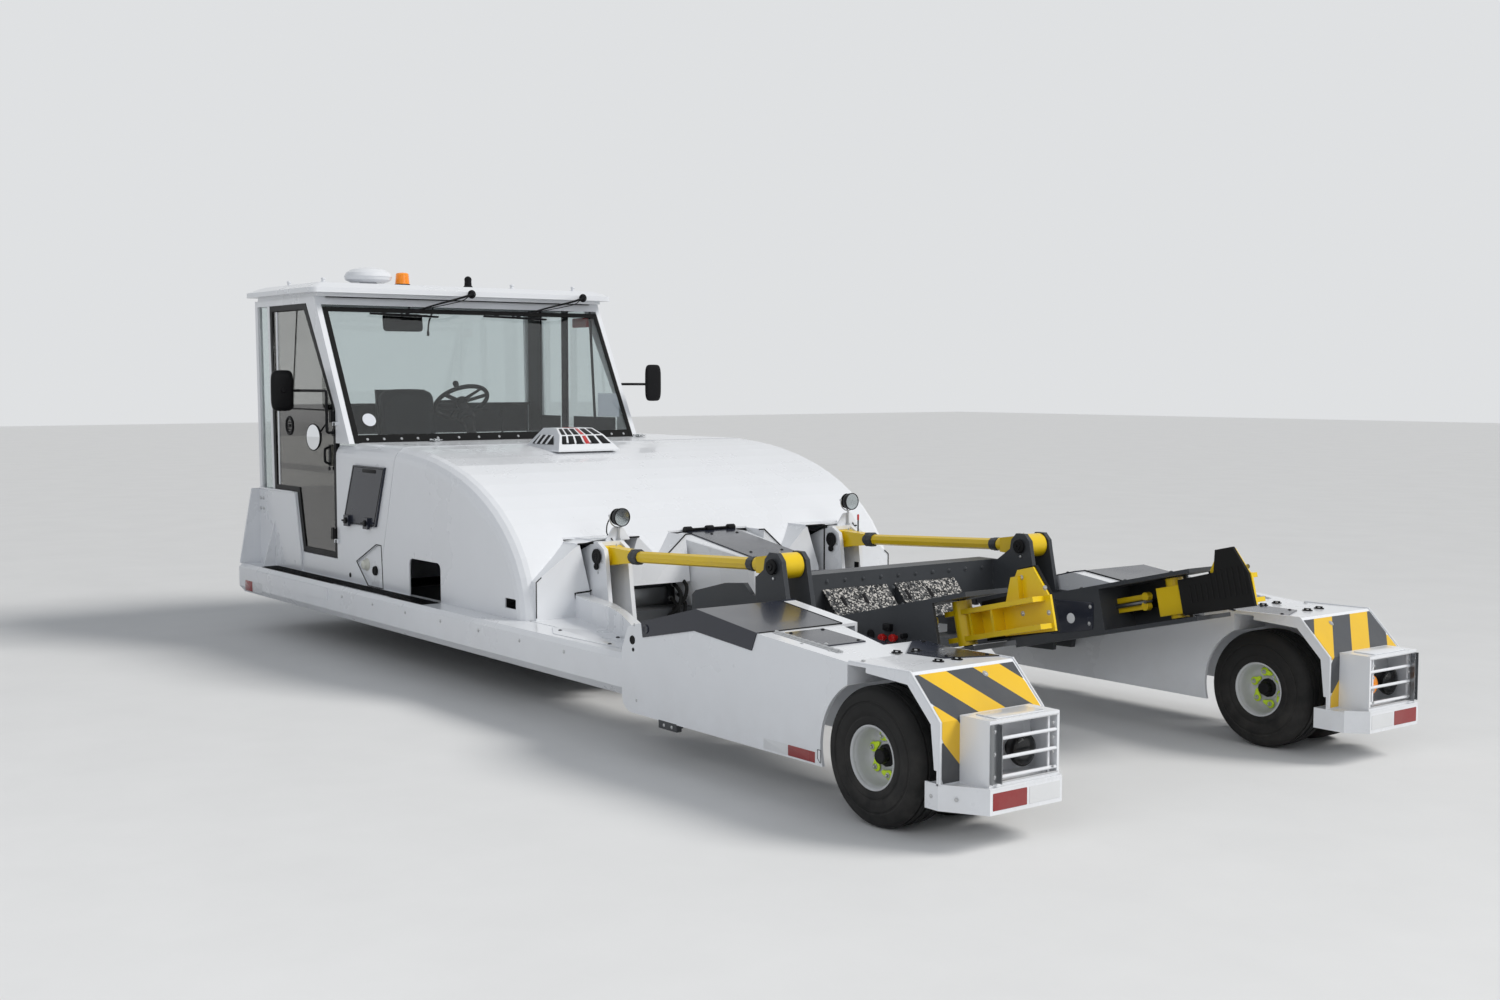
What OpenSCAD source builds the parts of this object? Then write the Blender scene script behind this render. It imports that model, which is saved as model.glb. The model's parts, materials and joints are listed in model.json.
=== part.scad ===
// Aircraft pushback tractor: low tractor body with an offset cab, two rear arms on
// small twin wheels and a lifting cradle between them that takes an aircraft's nose wheels.
// Millimetres. +X is the cab end, +Y the door side, +Z up, the ground is z = 0.
// Pieces that come in pairs are drawn at +Y and mirrored.

/* [Body] */
// Half width over the bonnet and the cab side
side_half = 1330; // [1300:1:1360]
// Width of the ledge that the sills and the arms stand out beyond it
ledge_w = 160; // [150:1:175]
// Front end of the body
front_x = 3660; // [3620:1:3700]
// Underside of the sills
sill_z = 252; // [220:1:270]
// Height of the ledge along the sills
ledge_z = 456; // [440:1:480]
// Rear end of the sills, where the arm plates start
sill_rear_x = -1345; // [-1400:1:-1300]
// Sheet thickness of the body panels
skin = 8; // [5:1:12]
// Gap between body panels
seam = 5; // [3:1:8]
// Clearance where one piece is seated on another
seat_gap = 0.3; // [0.2:0.05:0.5]

/* [Bonnet] */
// Front end of the bonnet's crown curve
crown_x = 1620; // [1580:1:1660]
// Length of the crown curve
crown_a = 1750; // [1700:1:1780]
// Top of the bonnet
crown_top = 1348; // [1320:1:1370]
// Foot of the crown curve
crown_foot = 420; // [400:1:430]
// Squareness of the crown curve
crown_n = 2.2; // [2:0.05:2.6]
// Radius along the bonnet's side edges
edge_r = 90; // [60:1:110]
// Bonnet seam at the top and at the ledge
seam_top_x = 1430; // [1400:1:1460]
seam_foot_x = 1710; // [1690:1:1740]

/* [Cab] */
// Far side of the cab, across from the door
cab_right = 860; // [820:1:880]
// Height of the cab floor
floor_z = 600; // [580:1:620]
// Foot of the windscreen
screen_foot_x = 2112; // [2095:1:2125]
// Head of the windscreen
screen_head_x = 2640; // [2620:1:2660]
// Underside of the roof
roof_z = 2302; // [2280:1:2330]
// Height of the roof slab
roof_h = 92; // [70:1:110]
// Roof overhang over the cab walls
roof_over = 70; // [50:1:80]
// Rear edge of the door
door_rear_x = 2325; // [2310:1:2340]
// Front edge of the door at the sill and at the roof
door_foot_x = 2895; // [2880:1:2910]
door_head_x = 3425; // [3410:1:3440]
// Bottom of the door opening
door_sill_z = 590; // [580:1:600]
// Top of the guard plates beside the cab
guard_z = 985; // [960:1:1000]
// Wall thickness of the cab
wall = 36; // [30:1:40]
// Glass thickness
glass_t = 6; // [5:1:8]

/* [Rear wheels] */
// Rear axle place
rear_axle_x = -3124; // [-3140:1:-3110]
// Tyre radius, which is also the axle height
rear_r = 279; // [270:1:285]
// Rear face of the fenders, behind the axle
fender_back = 391; // [380:1:400]
// Depth of the lamp box behind the fender, and of the bumper
lamp_box = 157; // [145:1:165]
bumper_back = 169; // [160:1:180]
// Width of one tyre of the pair
rear_tyre_w = 214; // [190:1:220]
// Rim flange radius
rear_rim_r = 127; // [115:1:135]
// Axle shaft radius
axle_r = 30; // [25:1:36]
// Running clearance of the shafts
run_fit = 0.05; // [0.02:0.01:0.1]

/* [Front wheels] */
// Front axle place
front_axle_x = 1150; // [1140:1:1160]
// Front tyre radius
front_r = 350; // [330:1:360]
// Front tyre width
front_tyre_w = 240; // [220:1:260]
// Half track of the front wheels
front_track = 520; // [510:1:540]
// Kingpin place from the centre line
kingpin_y = 330; // [325:1:335]
// Kingpin radius
kingpin_r = 20; // [16:1:24]

/* [Arms] */
// Inner face of the arms
arm_in = 940; // [935:1:960]
// Wall of the arm boxes
arm_wall = 14; // [10:1:18]
// Half thickness of the web between the twin tyres that carries the axle
web_half = 34; // [28:1:40]
// Fender plate thickness
fender_t = 12; // [8:1:16]

/* [Cradle linkage] */
// Link pivots at the tractor
link_x = -205; // [-215:1:-195]
upper_z = 790; // [780:1:800]
// Height between the upper and the lower links
link_gap = 420; // [400:1:440]
// Length of the links
link_len = 1557; // [1550:1:1565]
// Slope of the links as parked, degrees
link_slope = 2.95; // [2:0.05:4]
// Inner plate and outer plate of each pair of lugs, inner faces
lug_in = 745; // [740:1:750]
lug_out = 890; // [885:1:895]
// Lug plate thickness
lug_t = 25; // [20:1:25]
// Link pin radius
pin_r = 25; // [20:1:30]
// Width of a link's eye, side clearance taken off
eye_gap = 5; // [4:1:6]

/* [Cradle] */
// Slope of the cradle's side beams, degrees
beam_slope = 13.3; // [12:0.1:15]
// Inner and outer face of the side beams
beam_in = 600; // [590:1:610]
beam_out = 850; // [840:1:860]
// Height of the beams below and above the line of the lower pins
beam_lo = 119; // [110:1:125]
beam_hi = 126; // [120:1:130]
// End of the side beams along their own line
beam_end = 1285; // [1270:1:1300]
// Gate pivot along the beam, and across
gate_u = 1105; // [1100:1:1115]
gate_y = 705; // [700:1:710]
// Length of a gate from its pivot
gate_len = 480; // [460:1:490]

/* [Hidden] */
$fn = 48;
eps = 0.01;
body_half = side_half + ledge_w;       // over the sills and the arms
rear_x = rear_axle_x - fender_back;    // rear face of the fenders
arm_end_x = rear_axle_x + 134;         // rear end of the arms' boxes
tail_x = crown_x - crown_a;            // rear face of the body
dx_link = link_len * cos(link_slope);
dz_link = link_len * sin(link_slope);
lower_z = upper_z - link_gap;
cr_x = link_x - dx_link;               // cradle pins
cr_up_z = upper_z + dz_link;
cr_lo_z = lower_z + dz_link;
eye_w = lug_out - lug_in - lug_t - 2 * eye_gap;
eye_y = lug_in + lug_t + eye_gap;
white = [0.93, 0.94, 0.95];
grey = [0.30, 0.32, 0.34];
black = [0.08, 0.08, 0.09];
yellow = [0.93, 0.72, 0.06];

// A plate with its outline in the XZ plane, between two y values
module xz(pts, y0, y1) {
  translate([0, y1, 0]) rotate([90, 0, 0]) linear_extrude(y1 - y0) polygon(pts);
}
// A plate with its outline in the YZ plane, between two x values
module yz(pts, x0, x1) {
  translate([x0, 0, 0]) rotate([90, 0, 90]) linear_extrude(x1 - x0) polygon(pts);
}
// A box from one corner to the other
module box(a, b) { translate(a) cube(b - a); }
// A shaft along Y at a place in the XZ plane
module shaft(x, z, r, y0, y1) {
  translate([x, y1, z]) rotate([90, 0, 0]) cylinder(r = r, h = y1 - y0);
}
module both() { children(); mirror([0, 1, 0]) children(); }
module right() { mirror([0, 1, 0]) children(); }
// The cradle's own frame: u runs to the rear and up along the beams, v is square to it
module on_beam() {
  translate([cr_x, 0, cr_lo_z]) rotate([0, beam_slope, 0]) children();
}
// A box on the beam frame, given by u, y and v ranges
module ubox(u0, u1, y0, y1, v0, v1) { box([-u1, y0, v0], [-u0, y1, v1]); }

// Crown curve of the bonnet, t = 0 at the foot and 90 at the top; d is the inset
function crown(t, d) = [crown_x - (crown_a - d) * pow(cos(t), 2 / crown_n),
  crown_foot + (crown_top - crown_foot - d) * pow(sin(t), 2 / crown_n)];
crown_t = [4, 9, 15, 21, 27, 33, 39, 45, 51, 57, 63, 69, 74, 79, 84];
function seam_x(z, s) = seam_foot_x + (seam_top_x - seam_foot_x) * (z - ledge_z)
  / (crown_top - ledge_z) + s;
// One ring of the bonnet: up the crown, then down the slanted seam
function hood_ring(y, d, s, zb) = concat(
  [let (p = crown(2, d)) [p[0], y, zb]],
  [for (t = crown_t) let (p = crown(t, d)) [p[0], y, p[1]]],
  [let (z = crown_top - d) [seam_x(z, s), y, z]],
  [[seam_x(zb, s), y, zb]]);
// Rings across the width: fillet on both side edges
fil_t = [90, 70, 50, 30, 12];
function hood_rings(w, r, d, s, zb) = concat(
  [for (t = fil_t) hood_ring(-(w - r) - r * sin(t), d + r * (1 - cos(t)), s, zb)],
  [for (i = [len(fil_t) - 1 : -1 : 0]) let (t = fil_t[i])
    hood_ring(w - r + r * sin(t), d + r * (1 - cos(t)), s, zb)]);
// A solid through a list of rings with the same number of points
module skin_rings(rings) {
  n = len(rings[0]); m = len(rings);
  polyhedron(points = [for (r = rings) for (p = r) p],
    faces = concat([[for (i = [0 : n - 1]) i]],
      [for (k = [0 : m - 2]) for (i = [0 : n - 1]) let (j = (i + 1) % n)
        for (f = [[k * n + i, (k + 1) * n + i, (k + 1) * n + j],
                  [k * n + i, (k + 1) * n + j, k * n + j]]) f],
      [[for (i = [n - 1 : -1 : 0]) (m - 1) * n + i]]), convexity = 6);
}

// Cross section of the body ahead of the bonnet, as a YZ outline
function body_section(w, z0, z1, r) = concat([[-w, z0]],
  [for (t = [0 : 15 : 90]) [-w + r - r * cos(t), z1 - r + r * sin(t)]],
  [for (t = [90 : -15 : 0]) [w - r + r * cos(t), z1 - r + r * sin(t)]], [[w, z0]]);

module chassis_frame() color(grey) {
  bay_x = 490; spine = 120; pan_y = pan_in() - seat_gap;
  difference() {
    union() {
      box([tail_x, -pan_y, sill_z + 4], [front_x - 20, pan_y, sill_z + 24]);
      both() box([tail_x, pan_y - 12, sill_z + 4], [front_x - 20, pan_y, ledge_z - 1]);
      box([tail_x, -spine, sill_z + 4], [front_x - 20, spine, ledge_z - 4]);
      // cross members: place, depth
      for (c = [[tail_x, 150], [front_axle_x - bay_x - 60, 60], [front_axle_x + bay_x, 60],
                [front_x - 60, 40]])
        box([c[0], -pan_y, sill_z + 4], [c[0] + c[1], pan_y, ledge_z]);
      // tow jaws at the front
      for (z = [300, 380]) box([front_x - 70, -80, z], [front_x + 40, 80, z + 20]);
    }
    both() box([front_axle_x - bay_x, spine, 0], [front_axle_x + bay_x, 940, 600]);
    box([front_axle_x - 60 - seat_gap, -spine - 1, 0],
      [front_axle_x + 60 + seat_gap, spine + 1, 405 + seat_gap]);
    translate([front_x + 4, 0, 200]) cylinder(r = 19, h = 300);
  }
}

module sill() color(white) {
  difference() {
    yz([[pan_in(), sill_z + 4], [pan_in(), ledge_z], [body_half - 24, ledge_z],
        [body_half, ledge_z - 24], [body_half, sill_z + 45], [body_half - 40, sill_z],
        [body_half - 90, sill_z]], sill_rear_x, front_x + 14);
    // recess for the step grating and the small grate under the vent
    for (g = grates) box([g[0] - 2, grate_y0 - 2, ledge_z - 20 - seat_gap],
      [g[1] + 2, grate_y1 + 2, ledge_z + 1]);
  }
  // fairing plate below the step
  box([door_rear_x - 210, body_half - eps, ledge_z - 104], [front_x - 330, body_half + 7, ledge_z - 26]);
}
function pan_in() = side_half - wall;
grate_y0 = side_half + 14;
grate_y1 = body_half - 30;
// step grating and vent grate: rear end, front end
grates = [[2115, 3325], [845, 1290]];
module sill_left() sill();
module sill_right() right() sill();

module step_grating() color(black) for (g = grates) {
  difference() {
    box([g[0], grate_y0, ledge_z - 20], [g[1], grate_y1, ledge_z + 2]);
    box([g[0] + 10, grate_y0 + 8, ledge_z - 30], [g[1] - 10, grate_y1 - 8, ledge_z + 9]);
  }
  n = floor((g[1] - g[0]) / 45);
  for (i = [1 : n - 1]) let (x = g[0] + i * (g[1] - g[0]) / n)
    box([x - 4, grate_y0 + 7, ledge_z - 18], [x + 4, grate_y1 - 7, ledge_z + 1]);
}

// Openings in the bonnet's sides: x0, x1, z0, z1, corner radius
vents = [[860, 1270, ledge_z - 5, 684, 40], [-28, 92, 512, 566, 8]];
module hood_shell() color(white) difference() {
  union() {
    skin_rings(hood_rings(side_half, edge_r, 0, -seam, ledge_z + seat_gap));
    both() { yz(ear_out, tail_x, 60); yz(ear_in, tail_x, 60); }
  }
  skin_rings(hood_rings(side_half - skin, edge_r - skin, skin, 60, ledge_z - 20));
  for (v = vents) {
    box([v[0], -side_half - 9, v[2]], [v[1], side_half + 9, v[3] - v[4]]);
    box([v[0] + v[4], -side_half - 9, v[2]], [v[1] - v[4], side_half + 9, v[3]]);
    for (x = [v[0] + v[4], v[1] - v[4]])
      translate([x, side_half + 9, v[3] - v[4]]) rotate([90, 0, 0])
        cylinder(r = v[4], h = 2 * side_half + 18);
  }
  // slots for the uprights and the centre fairing, and the open rear between the uprights
  both() yz([[700, 440], [700, 620], [600, 900], [1000, 900], [925, 600], [925, 440]], -300, 52);
  yz([[-250, 440], [-250, 600], [-288, 900], [288, 900], [250, 600], [250, 440]], -300, 52);
  box([-300, -701, ledge_z - 10], [52, 701, 600]);
}
// Upright gables at the bonnet's rear, outboard and inboard of the uprights, as YZ outlines
ear_out = [[900, ledge_z + seat_gap], [side_half - 68, ledge_z + seat_gap], [side_half - 68, 666],
  [side_half - 100, 690], [990, 856], [900, 856]];
ear_in = [[240, 590], [240, 870], [283, 870], [450, 729], [606, 874], [745, 874], [745, 590]];

// Tapered housing between the uprights, over the links' bay: half widths and heights of a section
function fair_section(w, ws, wb, zt, zs, zb) = [[-wb, zb], [-ws, zs], [-w, zt], [w, zt], [ws, zs], [wb, zb]];
module fair_body(d) hull() {
  yz(fair_section(165 - d, 268 - d, 238 - d, 867 - d, 852 - d, ledge_z + seat_gap - 2 * d), 39 - d, 40 - d);
  yz(fair_section(165 - d, 246 - d, 238 - d, 841.5 - d, 828 - d, ledge_z + seat_gap - 2 * d),
    tail_x, tail_x + 1);
  yz(fair_section(165 - d, 180 - d, 170 - d, 765 - d, 755 - d, 560 - 2 * d), -640 + d, -639 + d);
}
module centre_fairing() color(white) difference() { fair_body(0); fair_body(skin); }

// Louvred air cowl on the bonnet
cowl_x = 960;
cowl_y = 30;
cowl_l = 430;
cowl_w = 440;
module hood_cowl() color(white) difference() {
  hull() {
    box([cowl_x, cowl_y, crown_top - 40], [cowl_x + cowl_l, cowl_y + cowl_w, crown_top - 30]);
    box([cowl_x + 90, cowl_y + 60, crown_top + 50],
      [cowl_x + cowl_l - 60, cowl_y + cowl_w - 60, crown_top + 58]);
    box([cowl_x + 180, cowl_y + 90, crown_top + 92],
      [cowl_x + cowl_l - 90, cowl_y + cowl_w - 90, crown_top + 100]);
  }
  skin_rings(hood_rings(side_half + 0.4, edge_r, -0.4, 90, ledge_z));
  for (i = [0 : 3]) translate([0, cowl_y + 40 + i * 95, 0])
    box([cowl_x - 20, 0, crown_top + 4], [cowl_x + 60, 62, crown_top + 14]);
}

module cab_body() color(white) {
  difference() {
    union() {
      difference() {
        yz(body_section(side_half, ledge_z + seat_gap, crown_top, edge_r), seam_top_x, front_x);
        yz(body_section(side_half - wall, ledge_z - 9, crown_top - wall, edge_r - wall),
          seam_top_x - 1, front_x - wall);
      }
      box([screen_foot_x - 40, -side_half + wall - 1, ledge_z + seat_gap],
        [screen_foot_x, side_half - wall + 1, crown_top - wall + 1]);
      box([screen_foot_x - 1, -cab_right, ledge_z + seat_gap],
        [front_x - wall + 1, -cab_right + wall, cab_top]);
      box([screen_foot_x - 1, -cab_right + 1, floor_z - 30],
        [front_x - wall + 1, side_half - wall + 1, floor_z]);
    }
    // slanted seam with the bonnet
    xz([[seam_top_x - 400, ledge_z - 50], [seam_x(ledge_z - 50, 0), ledge_z - 50],
        [seam_x(crown_top + 50, 0), crown_top + 50], [seam_top_x - 400, crown_top + 50]],
      -side_half - 9, side_half + 9);
    // open top of the cab
    box([screen_foot_x, -cab_right + wall, floor_z], [front_x - wall, side_half - wall, 2000]);
    box([screen_foot_x, -cab_right - eps, cab_top], [front_x + 9, side_half + 9, 2000]);
    // lower front corner, window sill height ahead and beside the cab
    box([door_foot_x + 100, side_half - wall - 9, guard_z], [front_x + 9, side_half + 9, 2000]);
    box([front_x - wall - 9, -cab_right + wall, guard_z], [front_x + 9, side_half + 9, 2000]);
    // door opening
    xz(door_outline(-seam), side_half - wall - 9, side_half + 9);
    // pocket behind the charge flap, and the port below it
    xz([for (p = flap_pts) [p[0] + sign(1880 - p[0]) * 45, p[1] + sign(1020 - p[1]) * 35]],
      side_half - wall - 9, side_half + 9);
    xz([[1735, 728], [2030, 600], [1860, ledge_z], [1640, ledge_z], [1660, 728]],
      side_half - 16, side_half + 9);
  }
  box([1640, side_half - 17, ledge_z + 6], [2035, side_half - 15, 730]);
  door_pin(720);
}
// Fixed leaf and pin of a door hinge
module door_pin(z) {
  box([hinge_x - 40, side_half - eps, z - 24], [hinge_x, hinge_y + 3, z - seat_gap]);
  translate([hinge_x, hinge_y, z - 24]) cylinder(r = 7, h = 24 - seat_gap);
  translate([hinge_x, hinge_y, z - 1]) cylinder(r = 4, h = 72);
}
cab_top = crown_top - 6;
// Door outline grown by a margin; the lower front corner follows the guard plate
function door_outline(g) = [[door_rear_x + seam + g, door_sill_z + seam + g],
  [door_foot_x - seam - g, door_sill_z + seam + g],
  [door_foot_x + 95 - seam - g, guard_z + seam + g],
  [door_head_x - 40 - seam - g, guard_z + seam + g],
  [door_head_x - seam - g, roof_z - 44 - g],
  [door_rear_x + 462 + g, roof_z - 44 - g],
  [door_rear_x + seam + g, 1565 + g / 2]];
flap_pts = [[1572, 1213], [2032, 1213], [2200, 834], [1716, 838]];

module cab_frame() color(white) {
  t = wall; top = roof_z - seat_gap;
  // pillars at the door side and the far side: outline, then rails
  for (s = [[side_half - t, side_half], [-cab_right, -cab_right + t]]) {
    xz([[screen_foot_x, cab_top + seat_gap], [screen_head_x, top], [door_rear_x + 515, top],
        [door_rear_x + 510 - seam, roof_z - 42], [door_rear_x + 450, roof_z - 42], [door_rear_x, 1565],
        [door_rear_x, cab_top + seat_gap]], s[0], s[1]);
    z0 = (s[0] > 0 ? guard_z : cab_top) + seat_gap;
    xz([[front_x - 46, z0], [front_x, z0], [front_x + 30, top], [front_x - 16, top]], s[0], s[1]);
    m0 = door_head_x - 40 + (z0 - guard_z) * 40 / (roof_z - guard_z);
    xz([[m0, z0], [m0 + 34, z0], [door_head_x + 34, top], [door_head_x, top]], s[0], s[1]);
    box([door_rear_x + 500, s[0], roof_z - 42], [front_x + 10, s[1], top]);
  }
  // head rails over the windscreen and at the front
  xz([[screen_head_x - 30, roof_z - 54], [screen_head_x + 6, roof_z - 54], [screen_head_x + 36, top],
      [screen_head_x, top]], -cab_right + t, side_half - t);
  box([front_x - 12, -cab_right + t, roof_z - 42], [front_x + 26, side_half - t, top]);
  door_pin(1480);
}

module roof_panel() color(white) {
  x0 = screen_head_x - 130; x1 = front_x + 40; y0 = -cab_right - 46; y1 = side_half + roof_over;
  r = 50;
  difference() {
    union() {
      hull() {
        for (x = [x0 + r, x1 - r]) for (y = [y0 + r, y1 - r])
          translate([x, y, roof_z + 22]) cylinder(r = r, h = roof_h - 60, $fn = 32);
        for (x = [x0 + r + 66, x1 - r - 66]) for (y = [y0 + r + 66, y1 - r - 66])
          translate([x, y, roof_z + roof_h - 6]) cylinder(r = 24, h = 6, $fn = 32);
      }
      box([x0 + 90, y0 + 50, roof_z], [x1 - 50, y1 - 76, roof_z + 22 + eps]);
    }
    // headroom inside the cab
    box([x0 + 180, y0 + 110, roof_z - 1], [x1 - 110, y1 - 130, roof_z + roof_h - 26]);
  }
}

module cab_glass() color([0.35, 0.42, 0.46]) {
  k = (screen_head_x - screen_foot_x) / (roof_z - cab_top);
  zt = roof_z - 54 - seat_gap; g = glass_t;
  // windscreen
  xz([[screen_foot_x + 3, cab_top + seat_gap], [screen_foot_x + 3 + g, cab_top + seat_gap],
      [screen_foot_x + 3 + g + (zt - cab_top) * k, zt], [screen_foot_x + 3 + (zt - cab_top) * k, zt]],
    -cab_right + wall + seat_gap, side_half - wall - seat_gap);
  // far side window
  xz([[door_rear_x + seat_gap, cab_top + seat_gap], [door_head_x - 32, cab_top + seat_gap],
      [door_head_x - 4, roof_z - 43], [door_rear_x + 452, roof_z - 43], [door_rear_x + seat_gap, 1564]],
    -cab_right + 12, -cab_right + 12 + g);
  // small corner windows beside the front pillars
  xz([[door_head_x - 5, guard_z + seat_gap], [front_x - 47, guard_z + seat_gap], [front_x - 18, roof_z - 43],
      [door_head_x + 34, roof_z - 43]], side_half - 22, side_half - 22 + g);
  xz([[door_head_x + 5, cab_top + seat_gap], [front_x - 47, cab_top + seat_gap], [front_x - 18, roof_z - 43],
      [door_head_x + 34, roof_z - 43]], -cab_right + 12, -cab_right + 12 + g);
  // front window
  xz([[front_x - 24, guard_z + seat_gap], [front_x - 24 + g, guard_z + seat_gap],
      [front_x + 3 + g, roof_z - 42 - seat_gap], [front_x + 3, roof_z - 42 - seat_gap]],
    -cab_right + wall + seat_gap, side_half - wall - seat_gap);
}

hinge_x = door_rear_x + 2;
hinge_y = side_half + 13;
door_y0 = side_half - 30;
door_y1 = side_half - 2;
module door_frame() color(black) {
  difference() {
    xz(door_outline(0), door_y0, door_y1);
    xz(door_outline(36), door_y0 - 1, door_y1 + 1);
  }
  // hinge knuckles at the rear edge
  for (z = [720, 1480]) difference() {
    union() {
      translate([hinge_x, hinge_y, z]) cylinder(r = 7, h = 70);
      box([hinge_x, hinge_y - 3, z], [hinge_x + 42, hinge_y + 3, z + 70]);
      box([hinge_x + 20, door_y1 - 6, z], [hinge_x + 42, hinge_y, z + 70]);
    }
    translate([hinge_x, hinge_y, z - 9]) cylinder(r = 4 + run_fit, h = 90);
  }
  // inner rail across the door and the handle
  box([door_rear_x + 20, door_y0, 1140], [door_head_x - 70, door_y0 + 12, 1180]);
}
module door_glass() color([0.18, 0.19, 0.20])
  xz(door_outline(36 + seat_gap), door_y1 - 14, door_y1 - 14 + glass_t);

module guard() {
  z0 = ledge_z + seat_gap; y0 = side_half + seat_gap;
  xz([[front_x - 12, z0], [front_x - 12, guard_z], [door_foot_x + 105, guard_z],
      [door_foot_x + 12, door_sill_z], [door_foot_x + 12, z0]], y0, side_half + 9);
  yz([[y0, z0], [body_half - 2, z0], [side_half + 62, guard_z],
      [y0, guard_z]], front_x - 12, front_x);
  yz([[side_half + 8, ledge_z + 3], [side_half + 96, ledge_z + 3], [side_half + 8, 780]],
    front_x - 292, front_x - 284);
}
module front_guards() color(white) both() guard();

module charge_flap() color([0.16, 0.20, 0.25]) {
  xz(flap_pts, side_half + seat_gap, side_half + 15);
  for (x = [1790, 2080]) box([x, side_half + 15 - eps, 820], [x + 70, side_half + 33, 890]);
}

seat_x = 2900;
seat_y = 430;
module seat_base() color(black) {
  box([seat_x - 190, seat_y - 190, floor_z + seat_gap], [seat_x + 190, seat_y + 190, floor_z + 330]);
  box([seat_x - 230, seat_y - 230, floor_z + 330 - eps], [seat_x + 250, seat_y + 230, floor_z + 390]);
  // back frame
  xz([[seat_x + 250, floor_z + 340], [seat_x + 290, floor_z + 340], [seat_x + 380, floor_z + 1080],
      [seat_x + 355, floor_z + 1080]], seat_y - 190, seat_y + 190);
  xz([[seat_x + 180, floor_z + 331], [seat_x + 290, floor_z + 331], [seat_x + 290, floor_z + 370],
      [seat_x + 180, floor_z + 370]], seat_y - 190, seat_y + 190);
}
module seat_cushions() color([0.13, 0.14, 0.16]) {
  box([seat_x - 250, seat_y - 240, floor_z + 390.3], [seat_x + 210, seat_y + 240, floor_z + 500]);
  xz([[seat_x + 125, floor_z + 500.3], [seat_x + 269, floor_z + 500.3], [seat_x + 338, floor_z + 1070],
      [seat_x + 238, floor_z + 1120]], seat_y - 225, seat_y + 225);
}

wheel_x = screen_foot_x + 418;      // over the console
wheel_y = seat_y - 110;
wheel_z = 1600;
module driver_console() color(black) {
  difference() {
    box([screen_foot_x + seat_gap, -500, floor_z + seat_gap], [screen_foot_x + 170, 1000, floor_z + 640]);
    box([screen_foot_x + 20, -480, floor_z - 1], [screen_foot_x + 150, 980, floor_z + 600]);
  }
  xz([[screen_foot_x + seat_gap, floor_z + 641 - 2], [screen_foot_x + 300, floor_z + 641 - 2],
      [screen_foot_x + 340, floor_z + 700], [screen_foot_x + 60, floor_z + 760]], -500, 1000);
  // steering column
  translate([wheel_x, wheel_y, wheel_z]) rotate([0, 35, 0]) translate([0, 0, -380]) cylinder(r = 32, h = 350);
}
module steering_wheel() color(black)
  translate([wheel_x, wheel_y, wheel_z]) rotate([0, 35, 0]) {
    rotate_extrude() translate([185, 0]) circle(r = 15, $fn = 24);
    translate([0, 0, -30 + seat_gap]) cylinder(r = 40, h = 36);
    for (a = [0, 120, 240]) rotate([0, 0, a]) box([30, -14, -12], [180, 14, 0]);
  }

cover_x = arm_end_x + 588;             // rear end of the arm's folded strip
arm_low = arm_end_x + 130;             // front of the arm's rising rear edge
// Top line of the arm from the bonnet to the fender, as x and z
arm_top = [[tail_x, ledge_z + 2], [-500, ledge_z + 2], [-800, ledge_z + 2], [-1100, ledge_z + 2],
  [-1330, ledge_z + 2], [-1398, 596], [-1519, 627], [-1961, 735], [cover_x, 682], [arm_end_x, 640]];
// Curved shoulder from the bonnet's rear to the arm's side plate: outer and inner edge, in plan
shoulder = [[tail_x, arm_in + 78], [-423, arm_in + 151], [-645, arm_in + 188], [-890, arm_in + 275],
  [-1215, body_half - 124], [sill_rear_x, body_half - 54], [sill_rear_x - 75, body_half - 6],
  [sill_rear_x - 75, body_half - 80], [sill_rear_x, body_half - 118], [-1205, body_half - 186],
  [-836, arm_in + 200], [-574, arm_in + 100], [-375, arm_in + 52], [tail_x, arm_in]];
shoulder_z = 578;
arm_bot = [[arm_end_x, 255], [arm_low, 192], [sill_rear_x - 91, 192], [sill_rear_x - 2, sill_z + 10],
  [sill_rear_x + 15, sill_z + 4], [tail_x, sill_z + 4]];
function inset_top(d) = [for (p = arm_top) [min(p[0], tail_x - d), p[1] - d]];
module arm() color(white) {
  difference() {
    union() {
      xz(concat(arm_top, arm_bot), arm_in, pan_in() - seat_gap);
      xz(concat([[sill_rear_x - seat_gap, 480]], [for (i = [5 : 9]) arm_top[i]], [[arm_end_x, 255],
        [arm_low, 192], [sill_rear_x - 91, 192], [sill_rear_x - 60, 195], [sill_rear_x - 32, 206],
        [sill_rear_x - 11, 228], [sill_rear_x - seat_gap, sill_z + 10]]), pan_in() - 2, body_half + 8);
      translate([0, 0, ledge_z + seat_gap]) linear_extrude(shoulder_z - ledge_z - seat_gap) polygon(shoulder);
    }
    // hollow inside, closed by the side plates and open below
    xz(concat(inset_top(arm_wall), [[arm_end_x + arm_wall + 40, 150], [tail_x - arm_wall, 150]]),
      arm_in + arm_wall, pan_in() - 30);
    xz(concat([[sill_rear_x - seat_gap - arm_wall, 480]],
      [for (i = [5 : 9]) [arm_top[i][0] - (i == 5 ? arm_wall : 0), arm_top[i][1] - arm_wall]],
      [[arm_end_x + 40, 150], [sill_rear_x - 15, 150]]), pan_in() - 31, body_half + 8 - arm_wall);
    // inner top edge cut away beside the cradle, closed by the sloping dark panel
    translate([0, 0, flank_z]) linear_extrude(200) polygon([[cover_x + 2, arm_in - 1], [cover_x + 2, flank_y[0]],
      [flank_x, flank_y[1]], [flank_x, arm_in - 1]]);
    shaft(rear_axle_x, rear_r, rear_r + 22, arm_in - 9, body_half + 19);
  }
}
flank_x = arm_end_x + 180;             // rear end of the cut, its floor and its outer edge at both ends
flank_z = 590;
flank_y = [arm_in + 100, arm_in + 210];
module arm_left() arm();
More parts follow.
